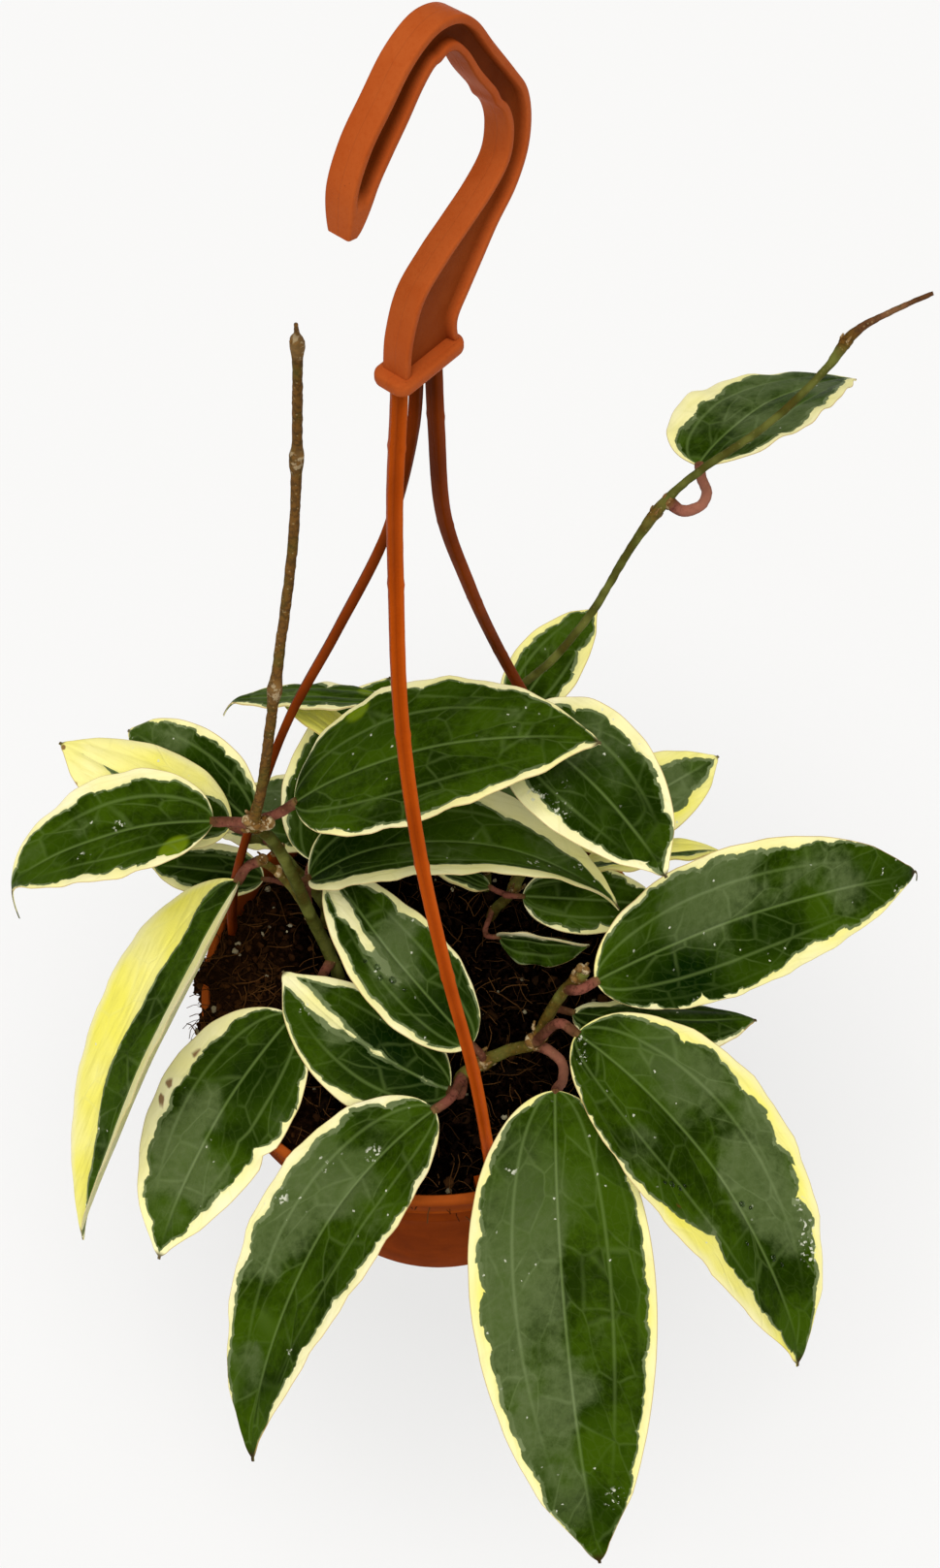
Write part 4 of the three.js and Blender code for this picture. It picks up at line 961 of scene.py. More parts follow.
def stem_host(name):
    """The branch's stems and stalks as polylines that carry girth, knots and colouring."""
    points, edges, girth, knot, tone = [], [], [], [], []

    def add_line(curve, radius_at, knot_at, tone_at, spacing=0.8):
        line, along = even_steps(curve, spacing)
        first = len(points)
        points.extend(line.tolist())
        edges.extend((first + i, first + i + 1) for i in range(len(line) - 1))
        share = along / along[-1]
        girth.extend(radius_at(share) * MM)
        marks = np.zeros(len(line))
        for at, size in knot_at:
            marks[int(round(at * (len(line) - 1)))] = size * MM
        knot.extend(marks)
        tone.extend(tone_at(share))

    for number, (path, radius, nodes, cork) in enumerate(STEMS[name]):
        taper = TAPERS.get((name, number), (0.0, 1.0, 0.0))

        def swollen(share, radius=radius, nodes=nodes, taper=taper):
            low, high, drop = taper
            swelling = sum((np.exp(-(((share - at) * 45) ** 2)) for at in nodes), np.zeros_like(share))
            end = 1 - drop * np.clip((share - low) / (high - low), 0, 1)
            return radius * (1 + NODE_SWELLING * np.clip(swelling, 0, 1)) * (1 - 0.25 * share) * end

        def colouring(share, cork=cork, nodes=nodes, low=taper[0]):
            near = sum((np.exp(-(((share - at) * 70) ** 2)) for at in nodes), np.zeros_like(share))
            young = np.clip((share - low) / 0.015, 0, 1) * (name == "vine")
            return np.stack([np.clip(cork + 0.55 * near + 0.4 * young, 0, 0.9), 0.5 * young, share], axis=1)

        rough = 0.74 if cork > 0.7 else 1.0
        knots = [(min(max(at + off, 0.0), 1.0), radius * big * rough)
                 for at in nodes for off, big in KNOT_LUMPS]
        add_line(centripetal(path), swollen, knots, colouring)
        for at in nodes:
            for spur in spurs(centripetal(path), at, radius * rough):
                add_line(centripetal(spur), lambda share, r=radius: r * (0.42 - 0.26 * share), [],
                         lambda share: np.stack([0.9 + 0 * share, 0 * share, share], axis=1), 0.4)
    for leaf, start in STALKS[name].items():
        blade = Blade(leaf)
        start, end = np.array(start, dtype=float), blade.base + blade.forward * 0.8
        reach = min(PETIOLE_BEND, np.linalg.norm(end - start) / 2)
        bends = LOOPS.get(leaf, [blade.base - blade.forward * reach])
        path = [start, *bends, end]
        thick = 1.55 if blade.width > 30 else 1.2 if blade.width > 22 else 0.9
        rosy = 1.7 if leaf in LOOPS else 1.0

        def stalk(share, thick=thick):
            return thick * (1.12 - 0.22 * np.sin(np.pi * share) - 0.25 * share ** 6)

        def blush(share, rosy=rosy):
            ends = np.exp(-((share / 0.07) ** 2)) + 0.5 * np.exp(-(((1 - share) / 0.03) ** 2))
            pink = rosy * (0.55 + 0.4 * np.sin(np.pi * share)) * (1 - ends)
            return np.stack([0.15 + 0.8 * ends, pink, share], axis=1)

        add_line(centripetal(path), stalk, [(0.02, 1.15 * thick)], blush, 0.6)
    for spot, radius in KNOBS.get(name, []):
        points.append(list(spot))
        girth.append(0.0)
        knot.append(radius * MM)
        tone.append((1.0, 0.0, 0.5))
    mesh = bpy.data.meshes.new(name + "_lines")
    mesh.from_pydata(place(points).tolist(), edges, [])
    give_attribute(mesh, "girth", girth)
    give_attribute(mesh, "knot", knot)
    give_attribute(mesh, "tone", np.array(tone))
    host = bpy.data.objects.new(name + "_lines", mesh)
    bpy.context.scene.collection.objects.link(host)
    return host


def stem_material(settings):
    """Olive bark that turns corky brown at the nodes and pink along the leaf stalks."""
    material, g = new_material("stem_bark")
    where = g.object_coordinates()
    cork, pink, _ = g.split(g.attribute("tone"))
    fine = g.noise(where, 900.0, 3.0, 0.6)
    broad = g.noise(where, 130.0, 2.0)
    green = g.mix(opaque(settings.olive), tint(66, 68, 22), broad.rise(0.35, 0.65))
    brown = g.mix(opaque(settings.cork), tint(70, 44, 16), fine.rise(0.4, 0.62))
    tan = g.mix(brown, tint(170, 138, 88), (cork * 3.0 - 2.3).clamp() * broad.rise(0.3, 0.6))
    bark = g.mix(green, tan, (cork * 1.5 + (broad - 0.5) * 1.6 - 0.25).clamp())
    blush = g.mix(opaque(settings.pink), tint(92, 56, 40), broad.rise(0.38, 0.64))
    blush = g.mix(blush, tint(62, 32, 24), fine.rise(0.5, 0.66) * 0.6)
    blush = g.mix(blush, tint(178, 118, 98), (pink - 0.9).clamp() * 0.9)
    colour = g.mix(bark, blush, (pink * 1.25).clamp())
    flakes = (cork * 8.0 - 6.6).clamp() * g.noise(where, 620.0, 3.0, 0.6).rise(0.52, 0.6)
    colour = g.mix(colour, tint(206, 188, 152), flakes * 0.75)
    flecks = g.cells(where, 700.0).fall(0.1, 0.24) * (cork + 0.15).clamp()
    colour = g.mix(colour, tint(182, 160, 112), flecks * 0.4)
    height = fine * 0.6 + broad * 0.6 - flecks * 0.3 + flakes * 0.5
    g.surface({"Specular IOR Level": 0.04}, {
        "Base Color": colour, "Roughness": 0.55 + fine * 0.2, "Normal": g.bump(height, 0.6, 0.0006)})
    return material


class HoyaStemSettings(bpy.types.PropertyGroup):
    """Stem and stalk colours"""
    olive: bpy.props.FloatVectorProperty(name="Olive", description="Young stems", subtype="COLOR",
                                         default=tint(104, 108, 50)[:3], min=0, max=1)
    cork: bpy.props.FloatVectorProperty(name="Cork", description="Old stems and nodes", subtype="COLOR",
                                        default=tint(104, 68, 24)[:3], min=0, max=1)
    pink: bpy.props.FloatVectorProperty(name="Blush", description="Leaf stalks", subtype="COLOR",
                                        default=tint(126, 74, 62)[:3], min=0, max=1)
    wrinkles: bpy.props.FloatProperty(name="Wrinkles", description="Height of the bark's wrinkles",
                                      unit="LENGTH", default=0.00032, min=0.0, max=0.001)


class HOYA_OT_stems(bpy.types.Operator):
    """Grow the stems, their nodes and the leaf stalks"""
    bl_idname = "hoya.stems"
    bl_label = "Stems"

    def execute(self, context):
        settings = context.scene.hoya_stems
        material = stem_material(settings)
        tree = stem_tree()
        for name in STEMS:
            host = stem_host(name)
            values = {"Wrinkle height": settings.wrinkles, "Finish": material}
            piece = grow(host, tree, values, name + "_bark")
            bpy.data.objects.remove(host)
            settle(piece, name, slot="stem")
        return {"FINISHED"}


# Soil: a crumbly surface with grains, fibres, bark and perlite lying on it

POT_HEIGHT = 108
RIM_RADIUS = 70
BASE_RADIUS = 51
WALL = 2
RIM_BAND = 23
LEDGE = POT_HEIGHT - RIM_BAND
LEDGE_RADIUS = 63.5
RIM_TAPER = 2.6
RIM_THICKENING = 0.6
GAP = 0.3
FOOT_ANGLES = (-125, 115, -5)
FOOT_RADIUS = 64.2
# The heap over the left of the rim: where round the pot it starts and ends, in degrees; the middle of
# its section, out and up; and how far the section reaches from there, sideways and upwards.
HEAP_START, HEAP_END = 107, 162
HEAP_RADIUS, HEAP_HEIGHT = 61.5, 104.0
HEAP_REACH, HEAP_RISE = 9.2, 6.6


def inner_radius(z):
    if z < LEDGE:
        return BASE_RADIUS + (LEDGE_RADIUS - BASE_RADIUS) * z / LEDGE - WALL
    return RIM_RADIUS - WALL - RIM_THICKENING - RIM_TAPER * (POT_HEIGHT - z) / RIM_BAND


def soil_height(x, y, random):
    """The solid's uneven top, with crumbs and a fibrous heap at the left rim."""
    lumps = np.sin(x * 0.19 + 1.3) * np.cos(y * 0.23 - 0.4) + 0.6 * np.sin(x * 0.41 - y * 0.33)
    heap = np.maximum(0, -x * 0.4 + y * 0.35) * 0.08
    height = SOIL_LEVEL + 1.1 * lumps + heap
    for scale, size in ((0.7, 0.7), (1.3, 0.55), (2.3, 0.35)):
        for _ in range(4):
            angle, phase = random.uniform(0, 6.28, 2)
            height = height + 0.5 * size * np.sin(scale * (x * math.cos(angle) + y * math.sin(angle)) + phase)
    left = math.radians(140)
    off = (x - 55 * math.cos(left)) ** 2 + (y - 55 * math.sin(left)) ** 2
    for angle in FOOT_ANGLES:
        fx, fy = FOOT_RADIUS * math.cos(math.radians(angle)), FOOT_RADIUS * math.sin(math.radians(angle))
        height = height - 3 * np.exp(-(((x - fx) ** 2 + (y - fy) ** 2) / 40))
    return height + 6.0 * np.exp(-off / 130)


def soil_body(material):
    """The closed body of the soil, with a fine top."""
    turns = 160
    angles = np.linspace(0, 2 * np.pi, turns, endpoint=False)
    sides = [(inner_radius(WALL) - 3, WALL + GAP), (inner_radius(WALL + 4) - GAP, WALL + 4),
             (inner_radius(LEDGE - 1) - GAP, LEDGE - 1), (inner_radius(LEDGE + 2) - 2 * GAP, LEDGE + 2)]
    edge = inner_radius(SOIL_LEVEL) - 3 * GAP
    radii = np.linspace(edge, 1.0, 56)
    rings = []
    for r, z in sides:
        rings.append(np.stack([r * np.cos(angles), r * np.sin(angles), np.full(turns, float(z))], axis=1))
    for r in radii:
        x, y = r * np.cos(angles), r * np.sin(angles)
        rings.append(np.stack([x, y, soil_height(x, y, np.random.default_rng(11))], axis=1))
    points = np.vstack(rings)
    piece = new_object("soil_mix", points, loft_faces(len(rings), turns), material)
    turn_outwards(piece.data)
    top = np.zeros(len(points))
    top[len(sides) * turns:] = 1.0
    give_attribute(piece.data, "top", top)
    return piece


def soil_heap(material):
    """A crumbly ridge of mix that lies over the rim at the left."""
    random = np.random.default_rng(23)
    turns, stations = 20, 44
    rings = []
    for angle in np.linspace(math.radians(HEAP_START), math.radians(HEAP_END), stations):
        share = (angle - math.radians(HEAP_START)) / math.radians(HEAP_END - HEAP_START)
        size = math.sin(math.pi * share) ** 0.45 * (1 + 0.16 * math.sin(share * 21)) + 0.02
        ring = []
        for turn in np.linspace(0, 2 * np.pi, turns, endpoint=False):
            rough = 1 + 0.12 * math.sin(3 * turn + share * 31) + random.uniform(-0.1, 0.1)
            r = HEAP_RADIUS + HEAP_REACH * size * rough * math.cos(turn)
            z = HEAP_HEIGHT + HEAP_RISE * size * rough * math.sin(turn)
            ring.append((r * math.cos(angle), r * math.sin(angle), z))
        rings.append(ring)
    piece = new_object("soil_heap", np.array(rings).reshape(-1, 3), loft_faces(stations, turns), material)
    turn_outwards(piece.data)
    give_attribute(piece.data, "top", np.ones(turns * stations))
    return piece


def scatter_tree(kind):
    """Pieces strewn over the soil's top: lumps, or bent fibres."""
    inputs = {"Density": ("Float", 1e5), "Smallest": ("Float", 0.0005), "Largest": ("Float", 0.0015),
              "Flatness": ("Float", 0.7), "Tilt": ("Float", 3.0), "Seed": ("Int", 0),
              "Finish": ("Material", None)}
    tree, g, given = modifier_tree("strewn_" + kind, inputs)
    top = g.stored("top")
    spots = g.node("GeometryNodeDistributePointsOnFaces", {"distribute_method": "RANDOM"},
                   {"Mesh": given["Geometry"], "Selection": top > 0.99, "Density": given["Density"],
                    "Seed": given["Seed"]})
    if kind == "lumps":
        shape = g.node("GeometryNodeMeshIcoSphere", {}, {"Radius": 0.5, "Subdivisions": 2})
        where = g.node("GeometryNodeInputPosition", {}, {})
        push = (g.noise(where, 3.2, 2.0, 0.6) - 0.5) * 1.5
        away = g.scaled(where, g.join(push, push, push))
        shape = g.node("GeometryNodeSetPosition", {}, {"Geometry": shape, "Offset": away})
    else:
        line = g.node("GeometryNodeCurvePrimitiveBezierSegment", {},
                      {"Resolution": 6, "Start": (-0.5, 0.0, 0.0), "Start Handle": (-0.2, 0.22, 0.1),
                       "End Handle": (0.2, -0.16, 0.12), "End": (0.5, 0.05, 0.0)})
        ring = g.node("GeometryNodeCurvePrimitiveCircle", {}, {"Resolution": 4, "Radius": 0.011})
        shape = g.node("GeometryNodeCurveToMesh", {},
                       {"Curve": line, "Profile Curve": ring, "Fill Caps": True})
    tilt = given["Tilt"]
    low = g.join(0 - tilt, 0 - tilt, 0.0)
    high = g.join(tilt, tilt, 6.28)
    turn = g.node("FunctionNodeRandomValue", {"data_type": "FLOAT_VECTOR"},
                  {0: low, 1: high, "Seed": given["Seed"]})
    size = g.node("FunctionNodeRandomValue", {"data_type": "FLOAT"},
                  {2: given["Smallest"], 3: given["Largest"], "Seed": given["Seed"]}, 1)
    strewn = g.node("GeometryNodeInstanceOnPoints", {}, {
        "Points": spots, "Instance": shape, "Rotation": turn,
        "Scale": g.join(size, size, size * given["Flatness"])})
    shade = g.node("FunctionNodeRandomValue", {"data_type": "FLOAT"}, {2: 0.0, 3: 1.0, "Seed": 77}, 1)
    marked = g.node("GeometryNodeStoreNamedAttribute", {"data_type": "FLOAT", "domain": "INSTANCE"},
                    {"Geometry": strewn, "Name": "shade", "Value": shade})
    end_tree(g, marked, given["Finish"])
    return tree


# Name, kind, density per square metre, smallest, largest, flatness, tilt, dark colour, light colour
STREWN = [
    ("soil_crumbs", "lumps", 9.0e4, 0.0007, 0.003, 0.6, 3.0, (2, 1, 1), (34, 19, 9)),
    ("soil_bark", "lumps", 5.0e3, 0.002, 0.005, 0.4, 0.5, (10, 6, 4), (62, 38, 18)),
    ("soil_perlite", "lumps", 3.6e3, 0.0007, 0.0026, 0.8, 3.0, (96, 88, 70), (206, 198, 170)),
    ("soil_fibres", "fibres", 6.5e4, 0.004, 0.016, 1.0, 0.6, (12, 6, 3), (98, 66, 36)),
]


def browner_left(g, where):
    """1 over the heap at the left, where the mix is coloured lighter and browner, and 0 elsewhere."""
    x, y, _ = g.split(where)
    return (y * 643 - x * 766 + g.noise(where, 60.0) * 14).rise(46, 66)


def strewn_material(name, dark, light):
    material, g = new_material(name)
    shade = g.attribute("shade", "Fac")
    where = g.object_coordinates()
    grain = g.noise(where, 1500.0, 3.0, 0.6)
    # Lighter and browner towards the heap at the left.
    browner = browner_left(g, where)
    colour = g.mix(tint(*dark), tint(*light), (shade * shade + (grain - 0.5) * 0.5 + browner * 0.2).clamp())
    colour = g.mix(colour, tint(84, 50, 22), browner * (shade * 0.4 + grain * 0.1))
    g.surface({"Specular IOR Level": 0.02}, {
        "Base Color": colour, "Roughness": 0.8 + grain * 0.15, "Normal": g.bump(grain, 0.6, 0.0005)})
    return material


def soil_material(settings):
    """Moist, nearly black mix with brown crumbs."""
    material, g = new_material("soil_mix")
    where = g.object_coordinates()
    crumbs = g.cells(where, 420.0)
    fine = g.noise(where, 700.0, 4.0, 0.7)
    # Lighter and browner towards the heap at the left.
    browner = browner_left(g, where)
    colour = g.mix(opaque(settings.dark), opaque(settings.light),
                   (fine.rise(0.45, 0.75) * (1 - crumbs) + browner * fine).clamp())
    g.surface({"Specular IOR Level": 0.0}, {
        "Base Color": colour, "Roughness": 0.85 + fine * 0.1,
        "Normal": g.bump(fine * 0.7 - crumbs * 0.8, 1.0, 0.0015)})
    return material


class HoyaSoilSettings(bpy.types.PropertyGroup):
    """Soil colours and how thickly it is strewn"""
    dark: bpy.props.FloatVectorProperty(name="Dark", description="Moist mix", subtype="COLOR",
                                        default=tint(2, 1, 1)[:3], min=0, max=1)
    light: bpy.props.FloatVectorProperty(name="Light", description="Drier crumbs", subtype="COLOR",
                                         default=tint(44, 26, 14)[:3], min=0, max=1)
    amount: bpy.props.FloatProperty(name="Amount", description="How thickly grains and fibres are strewn",
                                    default=1.0, min=0.0, max=2.0)


class HOYA_OT_soil(bpy.types.Operator):
    """Fill the pot and strew the soil's surface"""
    bl_idname = "hoya.soil"
    bl_label = "Soil"

    def execute(self, context):
        settings = context.scene.hoya_soil
        mix = soil_material(settings)
        body, heap = soil_body(mix), soil_heap(mix)
        trees = {kind: scatter_tree(kind) for kind in ("lumps", "fibres")}
        for seed, (name, kind, density, smallest, largest, flat, tilt, dark, light) in enumerate(STREWN):
            finish = strewn_material(name, dark, light)
            values = {"Density": density * settings.amount, "Smallest": smallest, "Largest": largest,
                      "Flatness": flat, "Tilt": tilt, "Seed": seed + 3, "Finish": finish}
            settle(grow(body, trees[kind], values, name), slot="soil")
            values["Density"] *= 2.2 if kind == "lumps" else 1.2
            settle(grow(heap, trees[kind], values, name.replace("soil", "heap")), slot="soil")
        settle(body, "soil", slot="soil")
        settle(heap, slot="soil")
        return {"FINISHED"}


# Pot: a thin round shell with a rim band, drain holes and three slotted lugs

LUG_TOP = 104
LUG_BOTTOM = 99
LUG_WIDTH = 9
LUG_INNER = 61.5
STRAP_WIDTH = 3.2
STRAP_DEPTH = 2.2
DRAIN_RADIUS = 3.5
DRAIN_RING = 36
DRAIN_TURN = 15
DRAIN_HOLES = 6


def block(shape, size, middle, angle):
    """Adds a turned box to a bmesh; millimetres."""
    turn = Matrix.Rotation(math.radians(angle), 4, "Z")
    moved = turn @ Matrix.Translation(middle) @ Matrix.Diagonal((*size, 1.0))
    bmesh.ops.create_cube(shape, size=1.0, matrix=moved)


def cutter(fill, name):
    shape = bmesh.new()
    fill(shape)
    shape.transform(Matrix.Scale(MM, 4) @ Matrix.Translation(-Vector(HOOK_BEARING)))
    mesh = bpy.data.meshes.new(name)
    shape.to_mesh(mesh)
    shape.free()
    piece = bpy.data.objects.new(name, mesh)
    bpy.context.scene.collection.objects.link(piece)
    return piece


def combine(piece, other, operation):
    """Joins or cuts with another closed piece, which is then removed."""
    modifier = piece.modifiers.new("combine", "BOOLEAN")
    modifier.operation = operation
    modifier.solver = "EXACT"
    modifier.object = other
    bpy.context.view_layer.update()
    ready = piece.evaluated_get(bpy.context.evaluated_depsgraph_get())
    mesh = bpy.data.meshes.new_from_object(ready)
    piece.modifiers.remove(modifier)
    piece.data = mesh
    bpy.data.objects.remove(other)


def pot_profile():
    """Outside from the middle of the underside up to the lip, then inside down to the floor."""
    r = inner_radius
    return [
        (0.01, 0.0), (20, 0.0), (BASE_RADIUS - 3.4, 0.0), (BASE_RADIUS - 1.6, 0.15), (BASE_RADIUS - 0.5, 0.6),
        (BASE_RADIUS, 1.5), (BASE_RADIUS + 3.0, 20.0), (BASE_RADIUS + 6.1, 41.0), (BASE_RADIUS + 9.3, 63.0),
        (LEDGE_RADIUS - 0.1, LEDGE - 0.6), (LEDGE_RADIUS + 0.3, LEDGE),
        (RIM_RADIUS - RIM_TAPER - 1.0, LEDGE + 1.1), (RIM_RADIUS - RIM_TAPER - 0.1, LEDGE + 1.5),
        (RIM_RADIUS - RIM_TAPER, LEDGE + 2.4), (RIM_RADIUS - 1.95, LEDGE + 10.4),
        (RIM_RADIUS - 1.55, LEDGE + 10.7), (RIM_RADIUS - 1.5, LEDGE + 11.2),
        (RIM_RADIUS - 1.8, LEDGE + 11.6), (RIM_RADIUS - 1.7, LEDGE + 12),
        (RIM_RADIUS - 0.75, POT_HEIGHT - 4.4), (RIM_RADIUS - 0.15, POT_HEIGHT - 3.4),
        (RIM_RADIUS, POT_HEIGHT - 2.2),
        (RIM_RADIUS - 0.05, POT_HEIGHT - 0.9), (RIM_RADIUS - 0.4, POT_HEIGHT - 0.25),
        (RIM_RADIUS - 1.0, POT_HEIGHT), (RIM_RADIUS - WALL - 0.1, POT_HEIGHT - 0.05),
        (RIM_RADIUS - WALL - 0.5, POT_HEIGHT - 0.4), (r(POT_HEIGHT - 1), POT_HEIGHT - 1.2), (r(100), 100.0),
        (r(LEDGE + 1), LEDGE + 1.4), (r(LEDGE + 1) - 0.7, LEDGE + 0.5), (r(LEDGE - 1), LEDGE - 1.4),
        (r(60), 60.0), (r(30), 30.0), (r(WALL + 2), WALL + 2.0), (r(WALL) - 0.8, WALL + 0.7),
        (r(WALL) - 2.2, WALL), (20, WALL), (0.01, WALL),
    ]


def pot_shell(material):
    turns = 144
    angles = np.linspace(0, 2 * np.pi, turns, endpoint=False)
    rings = [np.stack([r * np.cos(angles), r * np.sin(angles), np.full(turns, float(z))], axis=1)
             for r, z in pot_profile()]
    faces = loft_faces(len(rings), turns)
    piece = new_object("pot_shell", np.vstack(rings), faces, material)
    turn_outwards(piece.data)
    # Painted light on the pot by height alone: painted shade over the lower wall, deepest under the ledge,
    # and painted highlights on the bead below the lip and on the lip itself.
    heights = np.repeat([z for _, z in pot_profile()], turns)
    give_attribute(piece.data, "hollow", np.interp(
        heights, [0, LEDGE - 2, LEDGE, LEDGE + 1.5, LEDGE + 3, LEDGE + 10.4, LEDGE + 11, 104, POT_HEIGHT],
        [0.2, 0.5, 0.8, 0.6, 0.25, 0.35, -0.15, 0.0, -0.3]))

    def lugs(shape):
        outer = inner_radius(LUG_BOTTOM) + WALL / 2
        for angle in FOOT_ANGLES:
            size = (outer - LUG_INNER, LUG_WIDTH, LUG_TOP - LUG_BOTTOM)
            block(shape, size, ((outer + LUG_INNER) / 2, 0, (LUG_TOP + LUG_BOTTOM) / 2), angle)

    def openings(shape):
        for angle in FOOT_ANGLES:
            size = (STRAP_DEPTH + 2 * GAP, STRAP_WIDTH + 2 * GAP, 12)
            block(shape, size, (FOOT_RADIUS, 0, (LUG_TOP + LUG_BOTTOM) / 2), angle)
        for i in range(DRAIN_HOLES):
            angle = math.radians(360 * i / DRAIN_HOLES + DRAIN_TURN)
            spot = Matrix.Translation((DRAIN_RING * math.cos(angle), DRAIN_RING * math.sin(angle), 1))
            bmesh.ops.create_cone(shape, cap_ends=True, segments=32, depth=8, matrix=spot,
                                  radius1=DRAIN_RADIUS, radius2=DRAIN_RADIUS)

    combine(piece, cutter(lugs, "lugs"), "UNION")
    combine(piece, cutter(openings, "openings"), "DIFFERENCE")
    piece.data.shade_smooth()
    piece.data.set_sharp_from_angle(angle=math.radians(38))
    return piece


def plastic_material(name, colour, deep, roughness, gloss, grime):
    """Moulded plastic with a fine matte grain, faint flow marks and random grime, with painted shade where
    the hollow attribute is above zero and a painted highlight where it is below.
    """
    material, g = new_material(name)
    where = g.object_coordinates()
    hollow = g.attribute("hollow", "Fac")
    fine = g.noise(where, 1300.0, 3.0, 0.65)
    cloud = g.noise(where, 60.0, 3.0, 0.55)
    streak = g.noise(g.scaled(where, (1.0, 1.0, 0.15)), 260.0, 2.0)
    base = g.mix(opaque(colour), opaque(deep), cloud.rise(0.35, 0.7) * 0.7 + streak.rise(0.5, 0.8) * 0.25)
    base = g.mix(base, opaque(deep), (fine - 0.5).clamp() * 2.0)
    specks = g.cells(where, 900.0).fall(0.05, 0.13) * g.noise(where, 90.0, 1.0).rise(0.5, 0.65)
    base = g.mix(base, tint(70, 34, 14), specks * 0.5)
    # Random grime, and painted shade wherever the hollow attribute is above zero; a painted highlight
    # wherever it is below zero.
    dirt_and_shade = (g.noise(where, 70.0, 4.0, 0.65).rise(0.5, 0.75) * grime + hollow * (0.45 + cloud * 0.4)).clamp()
    base = g.mix(base, tint(72, 25, 1), dirt_and_shade)
    base = g.mix(base, tint(232, 128, 62), (0 - hollow).clamp() * 0.6)
    _, y, _ = g.split(where)
    seam = abs(y).fall(0.00008, 0.00022)
    height = fine * 0.6 + cloud * 0.3 - specks * 0.4 - seam * 0.5
    g.surface({"Specular IOR Level": gloss, "Specular Tint": (1.0, 0.5, 0.22, 1.0)}, {
        "Base Color": base, "Roughness": roughness + fine * 0.14 + dirt_and_shade * 0.2,
        "Normal": g.bump(height, 0.45, 0.0003)})
    return material


class HoyaPotSettings(bpy.types.PropertyGroup):
    """Colours of the pot"""
    colour: bpy.props.FloatVectorProperty(name="Terracotta", description="The pot's plastic", subtype="COLOR",
                                          default=tint(138, 57, 8)[:3], min=0, max=1)
    deep: bpy.props.FloatVectorProperty(name="Deep terracotta", description="Its darker clouds",
                                        subtype="COLOR", default=tint(112, 43, 4)[:3], min=0, max=1)


class HOYA_OT_pot(bpy.types.Operator):
    """Turn the pot, with its lugs and drain holes"""
    bl_idname = "hoya.pot"
    bl_label = "Pot"

    def execute(self, context):
        settings = context.scene.hoya_pot
        material = plastic_material("pot_plastic", settings.colour, settings.deep, 0.6, 0.003, 0.12)
        settle(pot_shell(material), "pot", slot="pot_plastic")
        return {"FINISHED"}


# Hanger: the hook, its collar and the three straps

HOOK_WIDTH = 6
HOOK_RECESS = 1.9
HOOK_EDGE = 1.5
COLLAR_BOTTOM = 348
COLLAR_TOP = 352.5
COLLAR_LENGTH = 19
COLLAR_WIDTH = 8.6
COLLAR_CORNER = 2.5
COLLAR_MIDDLE = 1.6
SOCKET_DEPTH = 3
SOCKET_WIDTH = 4.4
# The hook's steps from its tip to its collar: in all, in the tapered tip and in the flare at the collar;
# then the steps where its inner edge bears a small mark from the mould, and how far that spreads.
HOOK_STEPS = 190
TIP_STEPS = 9
FLARE_STEPS = 14
HOOK_NUBS = ((55, 2.5), (98, 3))
HOOK_OUTER = [
    (-17.5, 390), (-16.5, 398), (-12.7, 404.6), (-7.4, 409.8), (-1.6, 415), (4.7, 417.8), (10.5, 417.2),
    (15, 414), (19.6, 407.7), (25.3, 400), (28.7, 394.8), (30, 388.5), (29.2, 382), (26, 376), (21, 371),
    (16.7, 365.7), (12.9, 361), (9.5, 356.5), (8.5, COLLAR_TOP - 1),
]
HOOK_INNER = [
    (-14.3, 389.3), (-10.5, 396), (-6.5, 400.5), (-2.5, 404.5), (1.5, 408.8), (5, 411.3), (9, 411.5),
    (12, 408.5), (15, 403.5), (19.5, 397.5), (22.6, 392.5), (23.6, 388), (22.5, 383), (18, 379),
    (11.5, 375.3), (5.5, 372), (-1, 367), (-4.5, 359), (-5.5, COLLAR_TOP - 1),
]
# The straps' feet: how low they reach, the barb's width, and how fast it narrows downwards.
FOOT_END = 94
BARB_WIDTH = 5.4
BARB_SLOPE = 0.16
STRAPS = {
    "strap_front": (-4.4, FOOT_ANGLES[0], [
        (-7, 0, 320), (-9, -1, 297), (-18, -9, 268), (-26, -20, 234), (-31, -32, 196), (-34, -44, 155)]),
    "strap_left": (0.6, FOOT_ANGLES[1], [
        (0, 1, 332), (-3, 6, 304), (-9, 18, 267), (-16, 31, 229), (-22, 43, 184), (-27, 53, 139)]),
    "strap_right": (5.6, FOOT_ANGLES[2], [
        (6, 0, 330), (10, 2, 300), (18, 2, 271), (31, 5, 237), (42, 4, 206), (57, 1, 165), (63, -2, 135)]),
}


